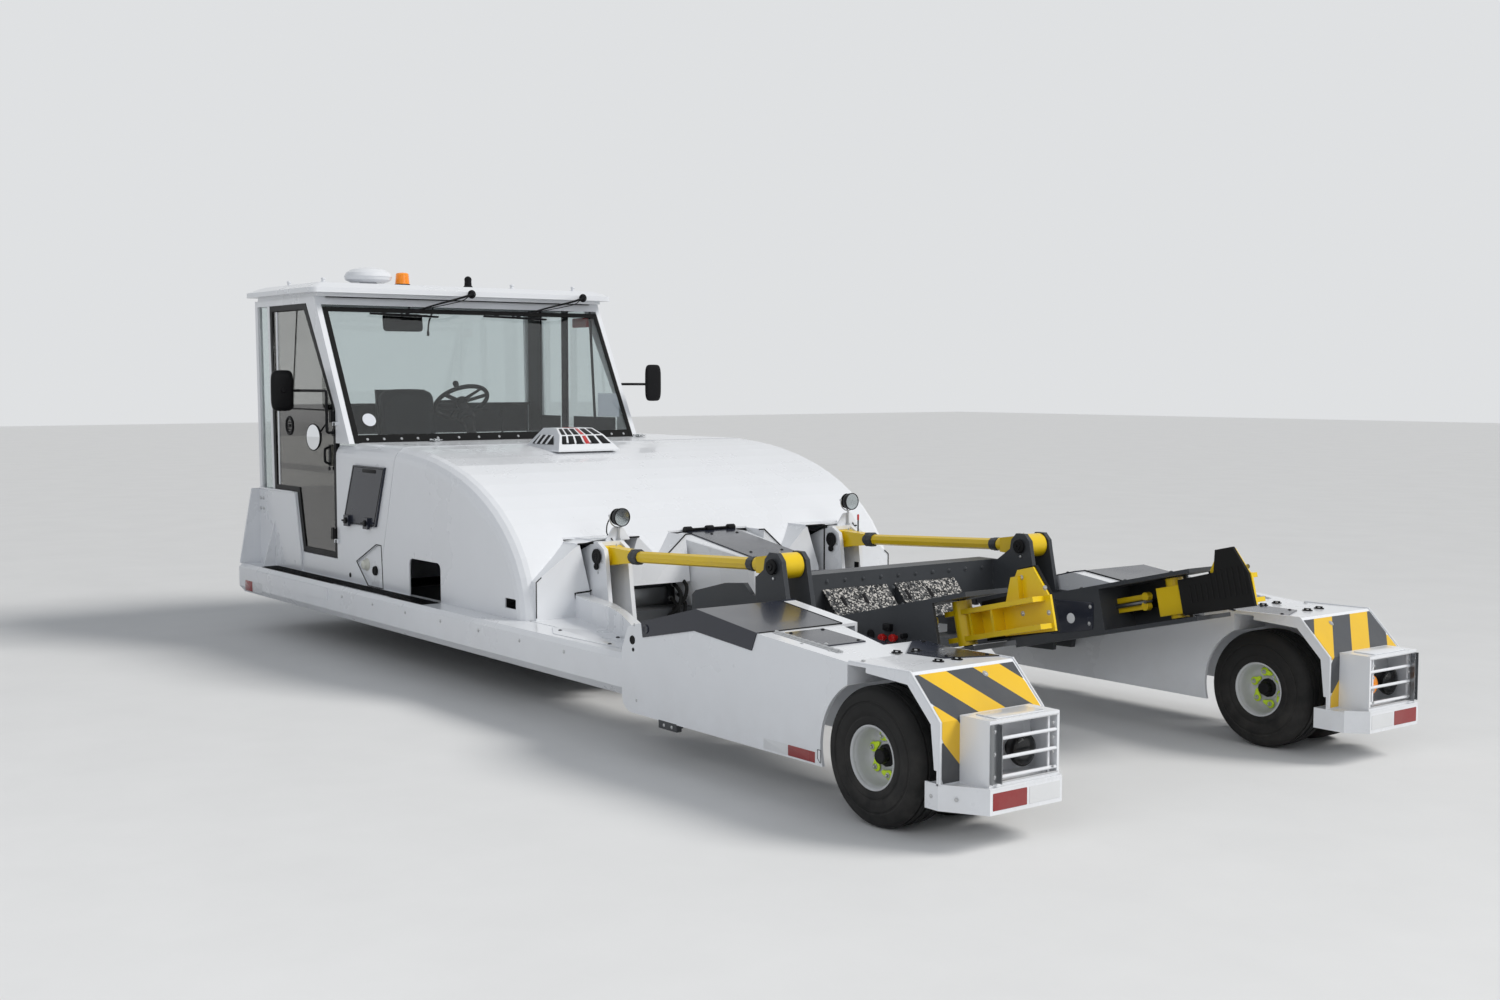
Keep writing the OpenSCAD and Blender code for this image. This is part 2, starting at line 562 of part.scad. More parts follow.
module arm_right() right() arm();

// Dark panels on top of the arms: a wide folded one at the crest, the sloping one beside the
// cradle, and two lift-off covers, the rear one over the seam between arm and fender
function lift(pts, d) = [for (p = pts) [p[0], p[1] + d]];
module arm_cover() {
  fold = [arm_top[6], arm_top[7], arm_top[8]];
  g = seat_gap;
  xz(concat(lift(fold, g), lift([fold[2], fold[1], fold[0]], 5)), arm_in + 90, body_half + 13);
  xz(concat(lift(fold, g), [[cover_x + 35, 606], [-1945, 640], [-1531, 560]]),
    body_half + 8 + g, body_half + 13);
  xz(concat(lift([arm_top[6], arm_top[7]], g), lift([arm_top[7], arm_top[6]], 7)), arm_in + 6, arm_in + 88);
  b = (arm_top[9][1] - arm_top[8][1]) / (arm_end_x - cover_x);
  x0 = cover_x - 53; x1 = cover_x - 333;
  z0 = arm_top[8][1] + b * (x0 - cover_x); z1 = arm_top[8][1] + b * (x1 - cover_x);
  xz([[x0, z0 + g], [x1, z1 + g], [x1, z1 + 6], [x0, z0 + 6]], arm_in + 242, arm_in + 458);
  hull() for (c = [[cover_x + 2 - g, arm_in + g, flank_z + g], [cover_x + 2 - g, flank_y[0] - 2, 666],
      [flank_x + 1, arm_in + g, flank_z + g], [flank_x + 1, flank_y[1] - 2, 640]])
    translate([c[0] - 0.5, c[1], c[2]]) cube([0.5, 1, 6]);
  intersection() {
    xz([[arm_end_x + 170, 653 + g], [arm_end_x, 642 + g], [rear_x + 235, 646.8 + g], [rear_x + 235, 652],
      [arm_end_x, 648], [arm_end_x + 170, 659]], arm_in + 8, arm_in + 238);
    translate([0, 0, 600]) linear_extrude(100) polygon([[arm_end_x + 168, arm_in + 59],
      [arm_end_x + 145, arm_in + 8], [rear_x + 235, arm_in + 8], [rear_x + 328, arm_in + 218],
      [arm_end_x + 4, arm_in + 238]]);
  }
}
module arm_covers() color([0.12, 0.14, 0.18]) {
  both() arm_cover();
  // top plate of the centre fairing
  xz([[20, 864 + seat_gap], [20, 864 + seat_gap + 7], [-660, 762 + seat_gap + 7], [-660, 762 + seat_gap]],
    -172, 172);
}

// Fender over the twin wheels, with the web between the tyres that carries the axle
fend_x = arm_end_x - seat_gap;
fend = [[fend_x, 642], [rear_x + 163, 648], [rear_x, 482], [rear_x, 244]];
module fender() {
  difference() {
    xz(concat(fend, [[rear_x + fender_t, 244], [rear_x + fender_t, 477], [rear_x + 168, 648 - fender_t],
      [fend_x, 642 - fender_t]]), arm_in, body_half + 8);
  }
  // side flange along the slanted edge, inboard and outboard
  for (y = [arm_in, body_half + 8 - 8]) xz([[rear_x + 163, 637], [rear_x + 12, 480], [rear_x + 12, 300],
    [rear_x + 25, 300], [rear_x + 45, 470], [rear_x + 175, 600], [rear_axle_x + 24, 612],
    [rear_axle_x + 24, 637]], y, y + 8);
  difference() {
    xz([[fend_x, 631], [rear_x + 163, 637], [rear_x + 11, 478], [rear_x + 11, 244], [rear_x + 85, 244],
        [rear_axle_x - 56, 205], [rear_axle_x + 56, 205], [fend_x, 300]],
      (arm_in + body_half) / 2 - web_half, (arm_in + body_half) / 2 + web_half);
    shaft(rear_axle_x, rear_r, axle_r + run_fit, arm_in, body_half);
  }
}
module fenders() color(white) both() fender();

// Bumper and lamp box behind each fender
box_y0 = arm_in + 80;
box_y1 = body_half - 98;
box_back = 19;
module bumper() {
  translate([0, 0, 150]) linear_extrude(94 - seat_gap) polygon([[rear_x + 75, body_half + 8],
    [rear_x + 3, body_half + 8], [rear_x - bumper_back, body_half - 92], [rear_x - bumper_back, box_y0 - 5],
    [rear_x - 85, arm_in], [rear_x + 75, arm_in]]);
  difference() {
    box([rear_x - lamp_box, box_y0, 241], [rear_x - seat_gap, box_y1, 500]);
    box([rear_x - lamp_box - 8, box_y0 + 12, 262], [rear_x - box_back, box_y1 - 12, 488]);
  }
  for (i = [0 : 2]) shaft(rear_x - lamp_box + 8, 283 + i * 72, 7, box_y0 + 11, box_y1 - 11);
  for (y = [box_y0 + 40, box_y1 - 50]) box([rear_x - lamp_box + 12, y, 261],
    [rear_x - lamp_box + 20, y + 10, 489]);
}
module bumpers() color(white) both() bumper();
module lamp_units() color([0.8, 0.8, 0.82]) both() {
  translate([rear_x - box_back - seat_gap, box_y0 + 130, 372]) rotate([0, -90, 0])
    cylinder(r1 = 50, r2 = 75, h = 90);
  translate([rear_x - box_back - seat_gap, box_y1 - 80, 372]) rotate([0, -90, 0]) cylinder(r = 42, h = 60);
}

// Uprights that carry the links: two plates a side, with both pins
module upright_plate(y0) difference() {
  union() {
    xz([[tail_x + 1, sill_z + 10], [tail_x + 1, ledge_z - 9], [35, ledge_z - 9], [35, 790], [-125, 850],
        [-205, 862], [-262, 832], [-275, 790], [-300, 600], [-330, 420], [-305, 300], [-270, sill_z + 10]],
      y0, y0 + lug_t);
  }
}
module uprights() color(white) both() {
  difference() {
    union() { upright_plate(lug_in); upright_plate(lug_out); }
    box([tail_x - seat_gap, 0, 0], [60, 1200, ledge_z + seat_gap]);
  }
  for (z = [upper_z, lower_z]) shaft(link_x, z, pin_r, lug_in - 8, lug_out + lug_t + 8);
  // lamp foot on top of the plates, joined to the outer plate
  box([lamp_x - 23, lug_in, 846], [lamp_x + 23, lug_out + lug_t, 868]);
}
// Work lamps: the door side's stands over the inner plate, the other over the outer one
lamp_x = link_x + 25;
module work_lamp(y, z) {
  translate([lamp_x, y, 868 + seat_gap]) cylinder(r = 9, h = z - 46 - 868);
  translate([lamp_x + 14, y, z]) rotate([0, -90, 0]) cylinder(r = 52, h = 40);
  translate([lamp_x + 14 - eps, y, z]) rotate([0, 90, 0]) cylinder(r1 = 52, r2 = 22, h = 36);
}
module work_lamps() color([0.75, 0.76, 0.78]) {
  work_lamp(lug_in + lug_t / 2, 996);
  work_lamp(-lug_out - lug_t / 2, 1012);
}

// Links: eyes round the pins, a bar between
module upper_link() color(yellow) {
  difference() {
    union() {
      shaft(link_x, upper_z, 55, eye_y, eye_y + eye_w);
      shaft(cr_x, cr_up_z, 62, eye_y, eye_y + eye_w);
      translate([link_x, eye_y + eye_w / 2, upper_z]) rotate([0, link_slope, 0]) {
        xz([[-10, -50], [-230, -34], [-230, 34], [-10, 50]], -36, 36);
        translate([-link_len + 150, 0, 0]) rotate([0, 90, 0]) cylinder(r = 27, h = link_len - 370);
        translate([-280, 0, 0]) rotate([0, 90, 0]) cylinder(r = 38, h = 56);
        translate([-link_len + 190, 0, 0]) rotate([0, 90, 0]) cylinder(r = 36, h = 40);
        xz([[-link_len + 10, -56], [-link_len + 195, -38], [-link_len + 195, 38], [-link_len + 10, 56]],
          -40, 40);
      }
    }
    shaft(link_x, upper_z, pin_r + run_fit, 0, 1200);
    shaft(cr_x, cr_up_z, pin_r + 0.3, 0, 1200);
  }
}
module lower_link(open_end) color(grey) {
  difference() {
    union() {
      shaft(link_x, lower_z, 52, eye_y, eye_y + eye_w);
      shaft(cr_x, cr_lo_z, 52, eye_y, eye_y + eye_w);
      translate([link_x, eye_y + eye_w / 2, lower_z]) rotate([0, link_slope, 0])
        box([-link_len + 20, -35, -40], [-20, 35, 40]);
    }
    shaft(link_x, lower_z, pin_r + run_fit, 0, 1200);
    shaft(cr_x, cr_lo_z, pin_r + (open_end ? 0.3 : run_fit), 0, 1200);
  }
}
module upper_link_left() upper_link();
module upper_link_right() right() upper_link();
module lower_link_left() lower_link(false);
module lower_link_right() right() lower_link(true);

// Cradle side: two lug plates, box beam with a window at the gate, pins
module cradle_lug(y0) {
  xz([[cr_x + 330, 560], [cr_x + 330, 785], [cr_x + 170, 785], [cr_x + 75, 850], [cr_x + 66, cr_up_z + 30],
      [cr_x + 30, cr_up_z + 66], [cr_x - 30, cr_up_z + 66], [cr_x - 66, cr_up_z + 30], [cr_x - 75, 850],
      [cr_x - 120, 640], [cr_x - 250, 640], [cr_x - 260, 460], [cr_x - 240, 345], [cr_x + 60, 335],
      [cr_x + 140, 380]], y0, y0 + lug_t);
}
module cradle_side() {
  cradle_lug(lug_in);
  // guard plate in front of the inner lug, with its folded front edge
  xz([[cr_x + 329, 520], [cr_x + 329, 690], [cr_x + 364, 690], [cr_x + 424, 742], [cr_x + 586, 727],
    [cr_x + 844, 664], [cr_x + 874, 640], [cr_x + 874, 520]], lug_in, lug_in + lug_t);
  box([cr_x + 862, lug_in - 105, 520], [cr_x + 874, lug_in + 1, 640]);
  difference() { cradle_lug(lug_out); box([cr_x + 130, 0, 0], [0, 1200, 1200]); }
  for (z = [cr_up_z, cr_lo_z]) shaft(cr_x, z, pin_r, lug_in - 8, lug_out + lug_t + 8);
  on_beam() {
    // foot between the lug plates, behind the link's eye
    ubox(95, 250, beam_in, lug_out + lug_t - 1, -beam_lo, 110);
    ubox(95, beam_end, beam_in, beam_out, beam_hi - 20, beam_hi);
    ubox(95, beam_end, beam_in, beam_out, -beam_lo, -beam_lo + 20);
    ubox(95, gate_u - 30, beam_out - 14, beam_out, -beam_lo, beam_hi);
    ubox(95, gate_u - 390, beam_in, beam_in + 14, -beam_lo, beam_hi);
    ubox(gate_u - 404, gate_u - 390, beam_in, beam_out, -beam_lo, beam_hi);
    translate([-gate_u, gate_y, -beam_lo]) cylinder(r = 20, h = beam_lo + beam_hi);
  }
}
module cradle_frame() color(grey) {
  both() cradle_side();
  // cross beam at the head of the cradle and the tie below it
  box([cr_x + 200, -lug_in - 1, 600], [cr_x + 330, lug_in + 1, 785]);
  box([cr_x + 60, -lug_in - 1, 360], [cr_x + 200, lug_in + 1, 420]);
  // two ribs behind each plate seat
  for (y = [-430, -60, 40, 410]) xz([[cr_x + 201, 419], [cr_x + 201, 701], plate_pt(0.03, seat_gap),
    plate_pt(0.83, seat_gap), [cr_x + 70, 419]], y, y + 20);
}
// A place on the slanted plates: s along the slope from the top, d below the lower face
function plate_pt(s, d) = [cr_x + 199 - 154 * s + 0.729 * d, 702 - 164 * s - 0.6845 * d];
module cradle_plates() color([0.5, 0.5, 0.5]) for (y = [-450, 30])
  xz([plate_pt(0, 0), plate_pt(0, -7), plate_pt(1, -7), plate_pt(1, 0)], y, y + 420);

// Swinging gate: ribbed frame from the pivot to the flared end plate
module gate() color(yellow) on_beam() difference() {
  union() {
    translate([-gate_u, gate_y, -beam_lo + 26]) cylinder(r = 42, h = beam_lo + beam_hi - 52);
    ubox(gate_u - 80, gate_u + gate_len - 30, gate_y - 40, gate_y + 36, 40, 62);
    ubox(gate_u - 80, gate_u + gate_len - 10, gate_y - 40, gate_y + 36, -75, -53);
    ubox(gate_u - 80, gate_u + gate_len, gate_y - 48, gate_y - 36, -75, 62);
    for (u = [gate_u + 60, gate_u + 190]) ubox(u, u + 12, gate_y - 40, gate_y + 30, -60, 50);
    // end plate, taller than the frame
    translate([0, gate_y - 36, 0]) rotate([90, 0, 0]) linear_extrude(12) polygon([
      [-gate_u - 190, -78], [-gate_u - gate_len, -88], [-gate_u - gate_len + 8, 60],
      [-gate_u - gate_len + 70, 186], [-gate_u - gate_len + 160, 186], [-gate_u - gate_len + 240, 82]]);
    xz([[-gate_u - 250, 60], [-gate_u - 330, 60], [-gate_u - 340, 160], [-gate_u - 300, 160]],
      gate_y - 37, gate_y - 10);
  }
  translate([-gate_u, gate_y, -130]) cylinder(r = 20 + run_fit, h = 260);
}
module gate_left() gate();
module gate_right() right() gate();
module gate_pad() color(black) on_beam() xz([[-gate_u - 70, -86], [-gate_u - gate_len - 2, -92],
  [-gate_u - gate_len + 6, 62], [-gate_u - gate_len + 66, 192], [-gate_u - gate_len + 166, 192],
  [-gate_u - gate_len + 196, 90], [-gate_u - 70, 84]], gate_y - 64, gate_y - 48);
module gate_pad_left() gate_pad();
module gate_pad_right() right() gate_pad();

// Tyre section: half widths and radii from bead to tread, revolved about Y
module tyre(r, w, bead, y) translate([0, y, 0]) rotate([90, 0, 0]) rotate_extrude($fn = 60) polygon([
  [bead, -w / 2 + 22], [bead + 18, -w / 2 + 6], [(r + bead) / 2, -w / 2], [r - 34, -w / 2 + 5],
  [r - 12, -w / 2 + 16], [r - 2, -w / 2 + 36], [r, -w / 2 + 60], [r, w / 2 - 60], [r - 2, w / 2 - 36],
  [r - 12, w / 2 - 16], [r - 34, w / 2 - 5], [(r + bead) / 2, w / 2], [bead + 18, w / 2 - 6],
  [bead, w / 2 - 22]]);
tyre_y = [arm_in + 8 + rear_tyre_w / 2, body_half - rear_tyre_w / 2];
module rear_tyres() color(black) translate([rear_axle_x, 0, rear_r])
  for (y = tyre_y) tyre(rear_r, rear_tyre_w, rear_rim_r - 9, y);
module rear_tyres_left() rear_tyres();
module rear_tyres_right() right() rear_tyres();
// Dished rims and the axle shaft through the web
module rim(s) rotate([90, 0, 0]) rotate_extrude() polygon([
  [axle_r - 1, 30 * s], [70, 30 * s], [92, 55 * s], [rear_rim_r - 20, 60 * s],
  [rear_rim_r - 18, -84 * s], [rear_rim_r - 9.2, -84 * s], [rear_rim_r - 9.2, 85 * s], [rear_rim_r, 93.6 * s],
  [rear_rim_r, 99 * s], [rear_rim_r - 12, 99 * s], [rear_rim_r - 20, 86 * s], [82, 68 * s], [66, 44 * s],
  [50, 44 * s], [50, 72 * s], [axle_r - 1, 72 * s]]);
module rear_hubs() color([0.72, 0.73, 0.74]) translate([rear_axle_x, 0, rear_r]) {
  translate([0, tyre_y[0], 0]) rim(1);
  translate([0, tyre_y[1], 0]) rim(-1);
  shaft(0, 0, axle_r, tyre_y[0] - 70, tyre_y[1] + 70);
}
module rear_hubs_left() rear_hubs();
module rear_hubs_right() right() rear_hubs();

module front_axle() color(grey) {
  box([front_axle_x - 60, -280, 300], [front_axle_x + 60, 280, 405]);
  both() {
    for (z = [270, 410]) hull() {
      box([front_axle_x - 55, 240, z], [front_axle_x + 55, 260, z + 20]);
      translate([front_axle_x, kingpin_y, z]) cylinder(r = 34, h = 20, $fn = 32);
    }
    box([front_axle_x - 55, 200, 270], [front_axle_x + 55, 260, 430]);
    translate([front_axle_x, kingpin_y, 266]) cylinder(r = kingpin_r, h = 168);
  }
}
hub_r = 34;
module knuckle() color(grey) difference() {
  union() {
    translate([front_axle_x, kingpin_y, 296]) cylinder(r = 40, h = 108);
    translate([front_axle_x, front_track + 4, front_r]) rotate([90, 0, 0])
      cylinder(r = hub_r, h = front_track - kingpin_y - 10);
  }
  translate([front_axle_x, kingpin_y, 200]) cylinder(r = kingpin_r + run_fit, h = 300);
}
module front_knuckle_left() knuckle();
module front_knuckle_right() right() knuckle();
module front_wheel() color(black) translate([front_axle_x, front_track, front_r]) {
  w = front_tyre_w; r = front_r;
  rotate([90, 0, 0]) rotate_extrude($fn = 60) polygon([
    [hub_r + run_fit, -14], [150, -22], [166, -w / 2 + 8], [r - 50, -w / 2], [r - 12, -w / 2 + 18],
    [r, -w / 2 + 56], [r, w / 2 - 56], [r - 12, w / 2 - 18], [r - 50, w / 2], [196, w / 2 - 8], [184, 14],
    [hub_r + run_fit, 22]]);
}
module front_wheel_left() front_wheel();
module front_wheel_right() right() front_wheel();

module battery_block() color([0.2, 0.22, 0.25]) box([90, -1080, ledge_z - 4 + seat_gap], [560, 1080, 780]);

module mirror_left() color(black) {
  arm_y = side_half + 50;
  box([2770, side_half + 92, 1545], [2800, side_half + 244, 1815]);
  // bent arm from the door's rear stile: foot, riser, reach and a short cross piece to the head
  box([hinge_x + 8, door_y1, 1390], [hinge_x + 40, arm_y + 9, 1430]);
  translate([hinge_x + 20, arm_y, 1420]) cylinder(r = 9, h = 260);
  translate([hinge_x + 20, arm_y, 1680]) sphere(r = 9, $fn = 24);
  translate([hinge_x + 20, arm_y, 1680]) rotate([0, 90, 0]) cylinder(r = 9, h = 2786 - hinge_x - 20);
  shaft(2786, 1680, 9, arm_y - 9, side_half + 100);
}
module mirror_right() color(black) {
  box([2075, -cab_right - 190, 1600], [2100, -cab_right - 60, 1860]);
  translate([2100 - eps, -cab_right - 110, 1720]) rotate([0, 90, 0]) cylinder(r = 9, h = 270);
  shaft(2370, 1720, 9, -cab_right - 119, -cab_right - seat_gap);
}
module roof_dome() color(white) translate([2960, 800, roof_z + roof_h + 0.3]) {
  cylinder(r = 60, h = 26);
  translate([0, 0, 26 - eps]) rotate_extrude() polygon([[0, 0], [120, 0], [156, 18], [162, 40], [150, 66],
    [118, 88], [64, 102], [0, 106]]);
}
module beacon() color([1, 0.45, 0.05]) translate([2950, 548, roof_z + roof_h + 0.3]) {
  cylinder(r = 56, h = 24);
  translate([0, 0, 24 - eps]) cylinder(r1 = 50, r2 = 44, h = 82);
}

chassis_frame();
sill_left();
sill_right();
step_grating();
hood_shell();
hood_cowl();
cab_body();
cab_frame();
roof_panel();
cab_glass();
door_frame();
door_glass();
front_guards();
charge_flap();
centre_fairing();
seat_base();
seat_cushions();
driver_console();
steering_wheel();
arm_left();
arm_right();
arm_covers();
fenders();
bumpers();
lamp_units();
uprights();
work_lamps();
upper_link_left();
upper_link_right();
lower_link_left();
lower_link_right();
cradle_frame();
cradle_plates();
gate_left();
gate_right();
gate_pad_left();
gate_pad_right();
rear_tyres_left();
rear_tyres_right();
rear_hubs_left();
rear_hubs_right();
front_axle();
front_knuckle_left();
front_knuckle_right();
front_wheel_left();
front_wheel_right();
battery_block();
mirror_left();
mirror_right();
roof_dome();
beacon();
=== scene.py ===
"""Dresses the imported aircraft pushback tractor: paints, glass, rubber, lamps and fittings.

Shapes are worked out in millimetres, as in the part's source, and piece() turns them to metres.
+X is the cab end, +Y the door side, +Z up, the ground at z = 0.
"""
import json

import bmesh
import bpy
import numpy as np
from bpy.props import FloatProperty, FloatVectorProperty, PointerProperty
from mathutils import Matrix, Vector

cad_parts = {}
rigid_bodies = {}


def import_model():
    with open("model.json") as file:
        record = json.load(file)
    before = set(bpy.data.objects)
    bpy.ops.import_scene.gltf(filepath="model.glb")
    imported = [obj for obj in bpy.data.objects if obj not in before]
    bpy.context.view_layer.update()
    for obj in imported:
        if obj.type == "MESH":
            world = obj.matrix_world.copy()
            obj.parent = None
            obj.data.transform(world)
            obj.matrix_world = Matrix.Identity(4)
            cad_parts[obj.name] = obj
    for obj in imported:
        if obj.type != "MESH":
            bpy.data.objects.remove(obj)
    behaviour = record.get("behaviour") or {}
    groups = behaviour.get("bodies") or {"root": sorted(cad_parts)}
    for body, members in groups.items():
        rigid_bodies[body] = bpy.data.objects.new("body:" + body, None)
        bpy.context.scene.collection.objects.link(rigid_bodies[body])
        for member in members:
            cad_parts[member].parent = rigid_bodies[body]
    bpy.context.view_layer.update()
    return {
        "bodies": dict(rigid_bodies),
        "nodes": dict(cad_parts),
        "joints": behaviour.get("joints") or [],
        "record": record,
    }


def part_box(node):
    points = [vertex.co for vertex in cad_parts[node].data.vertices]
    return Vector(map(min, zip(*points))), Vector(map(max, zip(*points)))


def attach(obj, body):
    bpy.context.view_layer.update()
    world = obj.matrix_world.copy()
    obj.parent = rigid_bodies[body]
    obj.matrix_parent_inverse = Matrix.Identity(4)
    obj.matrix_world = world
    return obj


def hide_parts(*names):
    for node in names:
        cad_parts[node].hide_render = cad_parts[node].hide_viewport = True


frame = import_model()
MM = 1000.0  # millimetres in a metre
X, Y, Z = np.eye(3)
SIDES = (("left", 1), ("right", -1))

bl_info = {
    "name": "Pushback tractor dressing",
    "version": (1, 0, 0),
    "blender": (4, 5, 0),
    "location": "View3D > Sidebar > Tractor",
    "description": "Paints and details an aircraft pushback tractor on its packed frame",
    "category": "Object",
}


def colour(name, text, value):
    """A linear colour setting."""
    return FloatVectorProperty(name=name, description=text, default=value, size=3, min=0.0, max=1.0,
                               subtype="COLOR")


def length(name, text, value):
    """A length setting in metres."""
    return FloatProperty(name=name, description=text, default=value, min=0.0, unit="LENGTH")


class PaintSettings(bpy.types.PropertyGroup):
    """Colours of the tractor's finishes."""
    white: colour("White paint", "Body panels, arms and fenders", (0.78, 0.795, 0.82))
    yellow: colour("Yellow paint", "Upper links and gates", (0.80, 0.545, 0.004))
    dark: colour("Dark paint", "Cradle, lower links and chassis", (0.052, 0.056, 0.062))
    cover: colour("Cover panels", "Glossy dark panels on the arms", (0.017, 0.020, 0.032))
    trim: colour("Black trim", "Door frame, mirrors and gratings", (0.009, 0.009, 0.010))
    rubber: colour("Rubber", "Tyres and gate pads", (0.012, 0.012, 0.012))
    rim: colour("Rims", "Wheel rims", (0.56, 0.57, 0.58))
    indicator: colour("Nut pointers", "Yellow-green wheel nut pointers", (0.62, 0.86, 0.02))
    reflector: colour("Red reflector", "Red reflecting strips", (0.26, 0.008, 0.010))
    amber: colour("Amber lens", "Rotating beacon", (0.92, 0.29, 0.008))
    floor: colour("Floor", "Studio floor", (0.74, 0.74, 0.735))


class SizeSettings(bpy.types.PropertyGroup):
    """Sizes of the fittings."""
    groove: length("Tread groove", "Depth of the rear tyres' grooves", 0.007)
    stripe: length("Hazard stripe", "Width of one hazard stripe across the fender", 0.1425)
    bolt: length("Bolt head", "Radius of a panel bolt's head", 0.0075)
    wiper: length("Wiper blade", "Length of a windscreen wiper's blade", 0.50)


# mesh surfaces

def merged(parts):
    """Joins (points, faces) pairs into one pair by shifting each face's numbers."""
    points, faces, start = [], [], 0
    for p, f in parts:
        p = np.asarray(p, float).reshape(-1, 3)
        points.append(p)
        faces.extend([tuple(int(i) + start for i in face) for face in f])
        start += len(p)
    return np.concatenate(points), faces


def grid_faces(rows, cols, close_rows=False, close_cols=True):
    """Quads of a rows by cols grid, numbered row by row."""
    r = np.arange(rows if close_rows else rows - 1)
    c = np.arange(cols if close_cols else cols - 1)
    r, c = (g.ravel() for g in np.meshgrid(r, c, indexing="ij"))
    r1, c1 = (r + 1) % rows, (c + 1) % cols
    return np.stack([r * cols + c, r * cols + c1, r1 * cols + c1, r1 * cols + c], 1).tolist()


def rings(stack, caps=True, loop=False):
    """Surface through a stack of closed rings (rows, cols, 3): grid faces, flat end caps."""
    stack = np.asarray(stack, float)
    n, m = stack.shape[:2]
    faces = grid_faces(n, m, close_rows=loop)
    if caps and not loop:
        faces += [list(range(m))[::-1], list(range((n - 1) * m, n * m))]
    return stack.reshape(-1, 3), faces


def unit(vector):
    """The vector at length one."""
    v = np.asarray(vector, float)
    return v / np.linalg.norm(v)


def inset(outline, d):
    """Moves each side of a closed outline inwards by d along its normal and meets them again."""
    p = np.asarray(outline, float)
    area = np.sum(p[:, 0] * np.roll(p[:, 1], -1) - np.roll(p[:, 0], -1) * p[:, 1])
    side = np.roll(p, -1, 0) - p
    side /= np.linalg.norm(side, axis=1)[:, None]
    normal = np.stack([-side[:, 1], side[:, 0]], 1) * np.sign(area)
    mitre = np.roll(normal, 1, 0) + normal
    mitre /= np.maximum((mitre * normal).sum(1), 0.35)[:, None]
    return p + mitre * d


def slab(outline, origin, u, v, depth, bevel=2):
    """A flat outline (a, b) carried along n = u x v: P = origin + a u + b v + t n, its rims bevelled."""
    u, v = unit(u), unit(v)
    n = np.cross(u, v)
    b = min(bevel, abs(depth) * 0.49)
    s = np.sign(depth)
    steps = [(b, 0), (b * 0.3, b * 0.3 * s), (0, b * s), (0, depth - b * s), (b * 0.3, depth - b * 0.3 * s),
             (b, depth)]
    flat = [(inset(outline, i), t) for i, t in steps]
    return rings([np.asarray(origin, float) + q[:, :1] * u + q[:, 1:] * v + t * n for q, t in flat])


def block(low, high, bevel=3):
    """A bevelled box between two corners: a slab of its XY outline."""
    (x0, y0, z0), (x1, y1, z1) = low, high
    return slab([(x0, y0), (x1, y0), (x1, y1), (x0, y1)], (0, 0, z0), X, Y, z1 - z0, bevel)


def round_corners(outline, r, steps=5):
    """Replaces each corner P by the curve (1-t)^2 A + 2t(1-t) P + t^2 B, A and B at r from P on its sides."""
    p = np.asarray(outline, float)
    a, b = np.roll(p, 1, 0) - p, np.roll(p, -1, 0) - p
    la, lb = np.linalg.norm(a, axis=1)[:, None], np.linalg.norm(b, axis=1)[:, None]
    a = p + a / la * np.minimum(r, la * 0.48)
    b = p + b / lb * np.minimum(r, lb * 0.48)
    t = np.linspace(0, 1, steps)[None, :, None]
    return ((1 - t) ** 2 * a[:, None] + 2 * t * (1 - t) * p[:, None] + t ** 2 * b[:, None]).reshape(-1, 2)


def oblong(a, b, r, steps=5):
    """The outline of a rectangle 2a by 2b with rounded corners."""
    return round_corners([(-a, -b), (a, -b), (a, b), (-a, b)], r, steps)


def lathe(profile, centre, axis, segments=48, closed=False):
    """Profile (along, radius) turned about an axis: P = C + a A + r (cos t U + sin t V)."""
    axis = unit(axis)
    u = unit(np.cross(axis, Z if abs(axis[2]) < 0.9 else X))
    t = np.linspace(0, 2 * np.pi, segments, endpoint=False)
    ring = np.cos(t)[:, None] * u + np.sin(t)[:, None] * np.cross(axis, u)
    prof = np.asarray(profile, float)[:, :, None, None]
    return rings(np.asarray(centre, float) + prof[:, 0] * axis + prof[:, 1] * ring, caps=not closed,
                 loop=closed)


def tube(path, radius, sides=12):
    """A circle carried along a path, square to it, its frame turned as little as it can."""
    p = np.asarray(path, float)
    d = np.gradient(p, axis=0)
    d /= np.linalg.norm(d, axis=1)[:, None]
    u = np.cross(d[0], Z if abs(d[0][2]) < 0.9 else X)
    frames = []
    for way in d:
        u = unit(u - way * (u @ way))
        frames.append(u)
    u = np.array(frames)
    t = np.linspace(0, 2 * np.pi, sides, endpoint=False)[None, :, None]
    r = np.broadcast_to(np.asarray(radius, float), (len(p),))[:, None, None]
    return rings(p[:, None] + r * (np.cos(t) * u[:, None] + np.sin(t) * np.cross(d, u)[:, None]))


def smooth_path(points, count=40):
    """A Catmull-Rom curve through the points, sampled evenly in its parameter."""
    p = np.asarray(points, float)
    q = np.vstack([2 * p[0] - p[1], p, 2 * p[-1] - p[-2]])
    t = np.linspace(0, len(p) - 1 - 1e-9, count)
    i = t.astype(int)
    f = (t - i)[:, None]
    a, b, c, d = q[i], q[i + 1], q[i + 2], q[i + 3]
    return 0.5 * (2 * b + (c - a) * f + (2 * a - 5 * b + 4 * c - d) * f ** 2
                  + (3 * b - a - 3 * c + d) * f ** 3)


def pipe(points, count, radius, sides=8):
    """A tube along the smooth curve through the points."""
    return tube(smooth_path(points, count), radius, sides)


